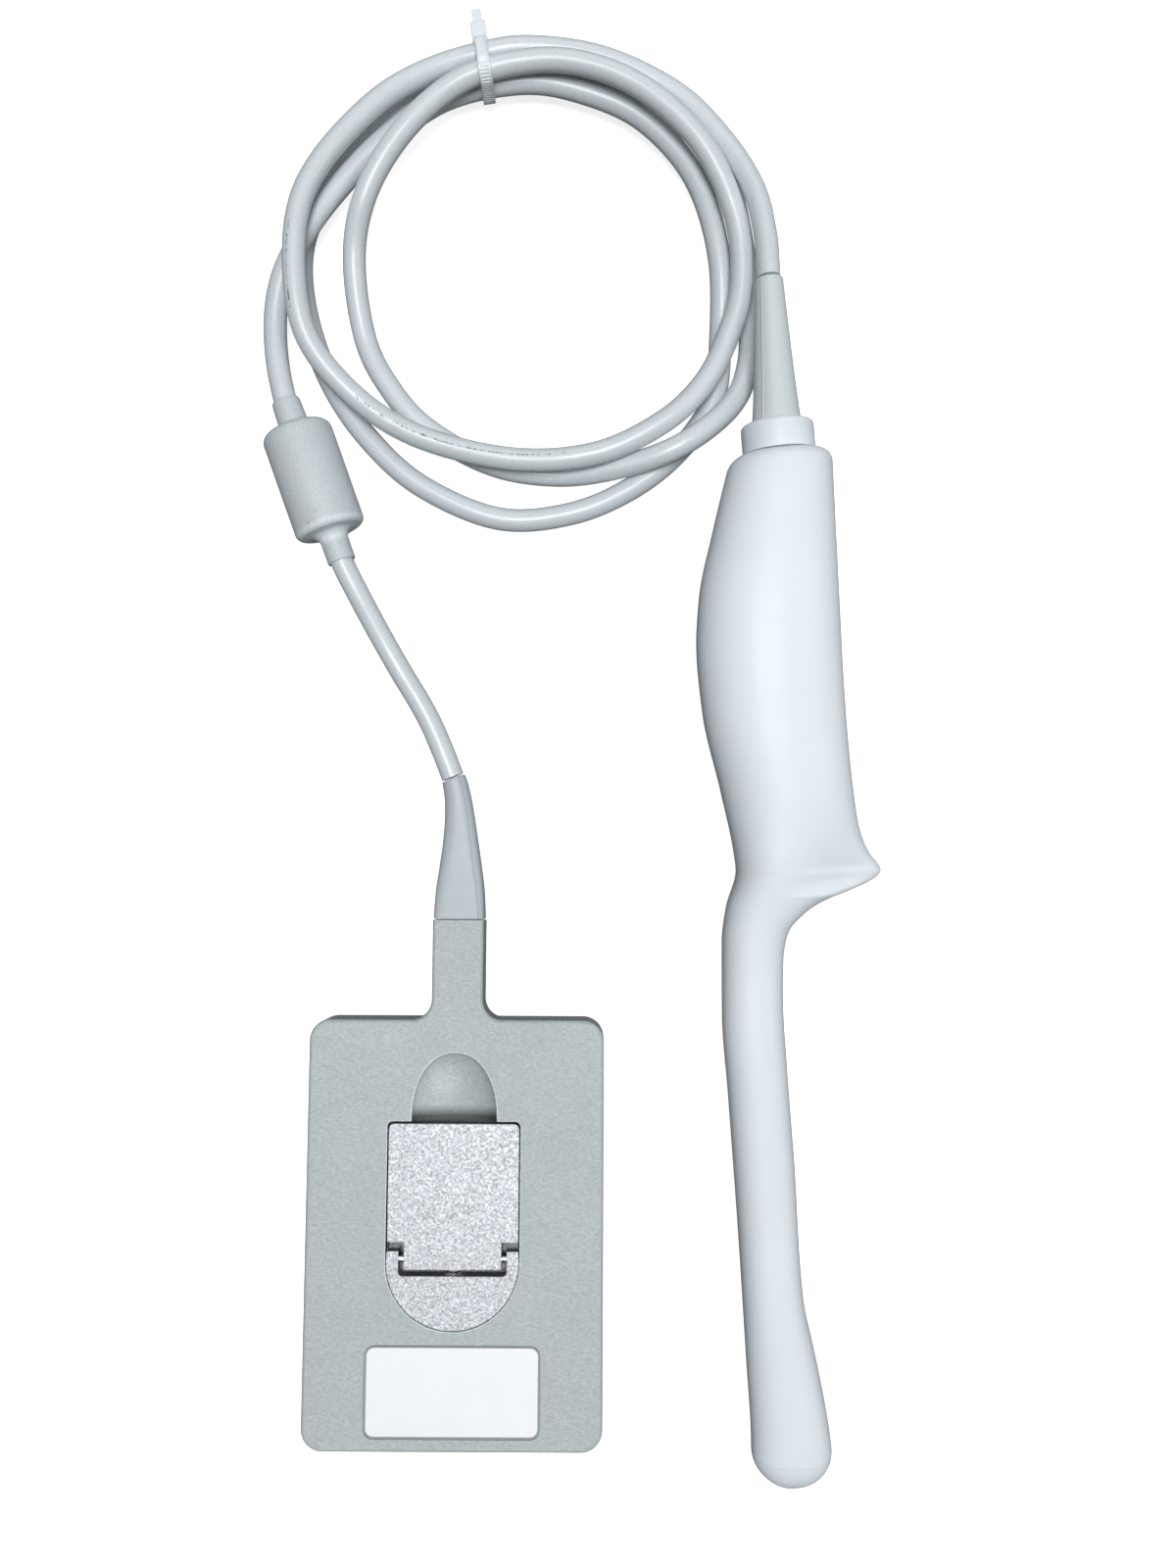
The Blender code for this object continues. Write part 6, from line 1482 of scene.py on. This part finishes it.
def build_connector_boot():
    """Boot lofted along a cubic from the neck's end to the cable's end, from a rounded oblong to a circle."""
    turn, origin = connector_place()
    neck_end = np.array((0.0, CASE_LENGTH / 2 + NECK_LENGTH + FACE_GAP, (NECK_BOTTOM_Z + CASE_HEIGHT) / 2))
    start = turn @ neck_end + origin
    cable_end, cable_before = (np.array(point) / MM for point in (CABLE_ROUTE_M[-1], CABLE_ROUTE_M[-2]))
    end_way = (cable_before - cable_end) / np.linalg.norm(cable_before - cable_end)
    end = cable_end - end_way * FACE_GAP * 1.5
    part = np.concatenate([[0.0, 0.004, 0.012], np.linspace(0.03, 0.97, 60), [0.985, 0.994, 1.0]])
    t = part[:, None]
    path = ((2 * t ** 3 - 3 * t ** 2 + 1) * start + (t ** 3 - 2 * t ** 2 + t) * (turn[:, 1] * BOOT_NECK_PULL)
            + (3 * t ** 2 - 2 * t ** 3) * end + (t ** 3 - t ** 2) * (end_way * BOOT_CABLE_PULL))
    stations = np.linspace(0.0, 1.0, len(BOOT_WIDTHS))
    width, height, power = (smooth_line(tuple(zip(stations, values)))(part)
                            for values in (BOOT_WIDTHS, BOOT_HEIGHTS, BOOT_SQUARENESS))
    trim = np.zeros(len(part))
    trim[:2] = (0.25, 0.08)
    trim[-3:] = (0.02, 0.1, 0.3)
    rings = carried(path, width / 2 - trim, height / 2 - trim, power, 88)
    points, faces = loft(rings)
    make_piece("connector_boot_skin", points, faces, finish_of(connector_boot_rubber),
               stands_for=("connector_boot",), sharp=50.0, uv=strip_uv(rings))


# Operators, one for each piece or group of like pieces

class PROBE_OT_handset(bpy.types.Operator):
    """Build the handset's shells, tip window and collar"""
    bl_idname = "probe.handset"
    bl_label = "Handset"

    def execute(self, context):
        build_shells()
        build_tip_window()
        build_collar()
        return {"FINISHED"}


class PROBE_OT_boots(bpy.types.Operator):
    """Build the rubber boots of the handset and the connector"""
    bl_idname = "probe.boots"
    bl_label = "Boots"

    def execute(self, context):
        build_handset_boot()
        build_connector_boot()
        return {"FINISHED"}


class PROBE_OT_ferrite(bpy.types.Operator):
    """Build the moulding over the ferrite ring"""
    bl_idname = "probe.ferrite"
    bl_label = "Ferrite"

    def execute(self, context):
        build_ferrite()
        return {"FINISHED"}


class PROBE_OT_tie(bpy.types.Operator):
    """Build the nylon cable tie"""
    bl_idname = "probe.tie"
    bl_label = "Cable tie"

    def execute(self, context):
        build_tie()
        return {"FINISHED"}


class PROBE_OT_cable(bpy.types.Operator):
    bl_idname = "probe.cable"
    bl_label = "Cable"

    def execute(self, context):
        cable, path = build_cable()
        return {"FINISHED"}


class PROBE_OT_case(bpy.types.Operator):
    """Build the connector's cover, base and bare label"""
    bl_idname = "probe.case"
    bl_label = "Connector case"

    def execute(self, context):
        build_cover()
        build_base()
        build_label()
        return {"FINISHED"}


class PROBE_OT_latch(bpy.types.Operator):
    """Build the latch's rotor and its flip-up lever"""
    bl_idname = "probe.latch"
    bl_label = "Latch"

    def execute(self, context):
        build_latch()
        return {"FINISHED"}


class PROBE_OT_inner_parts(bpy.types.Operator):
    """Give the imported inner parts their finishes"""
    bl_idname = "probe.inner_parts"
    bl_label = "Inner parts"

    def execute(self, context):
        for name, maker in NODE_FINISHES.items():
            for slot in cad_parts[name].material_slots:
                slot.material = finish_of(maker)
        return {"FINISHED"}


def pale_floor(colour, bounce, glow):
    """A matt floor that glows to the camera, so that only near shadows show on it, and that throws little
    light back up."""
    material = bpy.data.materials.new("pale floor")
    material.use_nodes = True
    tree = material.node_tree
    tree.nodes.clear()
    out = tree.nodes.new("ShaderNodeOutputMaterial")
    seen = tree.nodes.new("ShaderNodeLightPath").outputs["Is Camera Ray"]
    dull = tree.nodes.new("ShaderNodeBsdfDiffuse")
    dull.inputs["Color"].default_value = (*tinted(colour, bounce)[:3], 1.0)
    matt = tree.nodes.new("ShaderNodeBsdfDiffuse")
    matt.inputs["Color"].default_value = (*colour, 1.0)
    shine = tree.nodes.new("ShaderNodeEmission")
    shine.inputs["Strength"].default_value = glow
    both = tree.nodes.new("ShaderNodeAddShader")
    tree.links.new(matt.outputs[0], both.inputs[0])
    tree.links.new(shine.outputs[0], both.inputs[1])
    mix = tree.nodes.new("ShaderNodeMixShader")
    tree.links.new(seen, mix.inputs[0])
    tree.links.new(dull.outputs[0], mix.inputs[1])
    tree.links.new(both.outputs[0], mix.inputs[2])
    tree.links.new(mix.outputs[0], out.inputs[0])
    return material


def white_world(strength):
    """Even light from all round, which the camera sees as white."""
    world = bpy.data.worlds.new("studio")
    bpy.context.scene.world = world
    world.use_nodes = True
    tree = world.node_tree
    tree.nodes.clear()
    out = tree.nodes.new("ShaderNodeOutputWorld")
    path = tree.nodes.new("ShaderNodeLightPath")
    even = tree.nodes.new("ShaderNodeBackground")
    even.inputs["Color"].default_value = (1.0, 1.0, 1.0, 1.0)
    even.inputs["Strength"].default_value = strength
    white = tree.nodes.new("ShaderNodeBackground")
    white.inputs["Color"].default_value = (1.0, 1.0, 1.0, 1.0)
    mix = tree.nodes.new("ShaderNodeMixShader")
    tree.links.new(path.outputs["Is Camera Ray"], mix.inputs[0])
    tree.links.new(even.outputs[0], mix.inputs[1])
    tree.links.new(white.outputs[0], mix.inputs[2])
    tree.links.new(mix.outputs[0], out.inputs[0])


def area_lamp(name, place, turn, size, power):
    """A square soft lamp that looks down its own z."""
    lamp = bpy.data.lights.new(name, "AREA")
    lamp.size = size
    lamp.energy = power
    made = bpy.data.objects.new(name, lamp)
    made.location = place
    made.rotation_euler = turn
    bpy.context.scene.collection.objects.link(made)


class PROBE_OT_stage(bpy.types.Operator):
    """Set the pale floor, the soft light and the camera"""
    bl_idname = "probe.stage"
    bl_label = "Stage"

    def execute(self, context):
        settings = context.scene.probe_stage
        scene = context.scene
        scene.view_settings.view_transform = "Standard"
        camera = bpy.data.cameras.new("overhead camera")
        camera.sensor_width = 36.0
        camera.lens = settings.lens_length
        camera.dof.use_dof = False
        stand = bpy.data.objects.new("overhead camera", camera)
        stand.location = CAMERA_PLACE
        scene.collection.objects.link(stand)
        scene.camera = stand
        half = FLOOR_HALF
        corners = [(-half, -half, 0.0), (half, -half, 0.0), (half, half, 0.0), (-half, half, 0.0)]
        floor = bpy.data.meshes.new("floor")
        floor.from_pydata(corners, [], [(0, 1, 2, 3)])
        floor.materials.append(pale_floor(settings.floor_colour, FLOOR_BOUNCE, FLOOR_GLOW))
        ground = bpy.data.objects.new("floor", floor)
        ground.location = (0.0, 0.0, FLOOR_Z)
        scene.collection.objects.link(ground)
        white_world(settings.sky_strength)
        area_lamp("overhead softbox", (-0.06, 0.05, 2.5), (0.0, 0.0, 0.0), 1.1, settings.lamp_power)
        side_turn = (0.0, math.radians(48.0), 0.0)
        area_lamp("side softbox", (1.2, 0.05, 1.1), side_turn, 0.8, settings.lamp_power * SIDE_LAMP_SHARE)
        far_turn = (math.radians(-55.0), 0.0, 0.0)
        area_lamp("far softbox", (-0.06, 1.6, 1.1), far_turn, 0.9, settings.lamp_power * FAR_LAMP_SHARE)
        return {"FINISHED"}


class PROBE_PT_panel(bpy.types.Panel):
    """Sidebar panel that lists the pieces and their settings"""
    bl_idname = "PROBE_PT_panel"
    bl_label = "Ultrasound probe"
    bl_space_type = "VIEW_3D"
    bl_region_type = "UI"
    bl_category = "Probe"

    def draw(self, context):
        for operator in OPERATORS:
            self.layout.operator(operator.bl_idname)
        for owner in (name for name, _ in SETTINGS):
            group = getattr(context.scene, owner)
            for key in group.bl_rna.properties.keys()[2:]:
                self.layout.prop(group, key)


OPERATORS = (PROBE_OT_stage, PROBE_OT_handset, PROBE_OT_boots, PROBE_OT_ferrite, PROBE_OT_tie, PROBE_OT_cable,
             PROBE_OT_case, PROBE_OT_latch, PROBE_OT_inner_parts)
SETTINGS = (("probe_handset", HandsetSettings), ("probe_cable", CableSettings),
            ("probe_connector", ConnectorSettings), ("probe_stage", StageSettings))


def register():
    for name, group in SETTINGS:
        bpy.utils.register_class(group)
        setattr(bpy.types.Scene, name, bpy.props.PointerProperty(type=group))
    for item in (*OPERATORS, PROBE_PT_panel):
        bpy.utils.register_class(item)


def unregister():
    for item in (PROBE_PT_panel, *reversed(OPERATORS)):
        bpy.utils.unregister_class(item)
    for name, group in reversed(SETTINGS):
        delattr(bpy.types.Scene, name)
        bpy.utils.unregister_class(group)


def main():
    register()
    bpy.ops.probe.stage()
    bpy.ops.probe.handset()
    bpy.ops.probe.boots()
    bpy.ops.probe.ferrite()
    bpy.ops.probe.tie()
    bpy.ops.probe.cable()
    bpy.ops.probe.case()
    bpy.ops.probe.latch()
    bpy.ops.probe.inner_parts()
    bpy.context.view_layer.update()


if __name__ == "__main__":
    main()
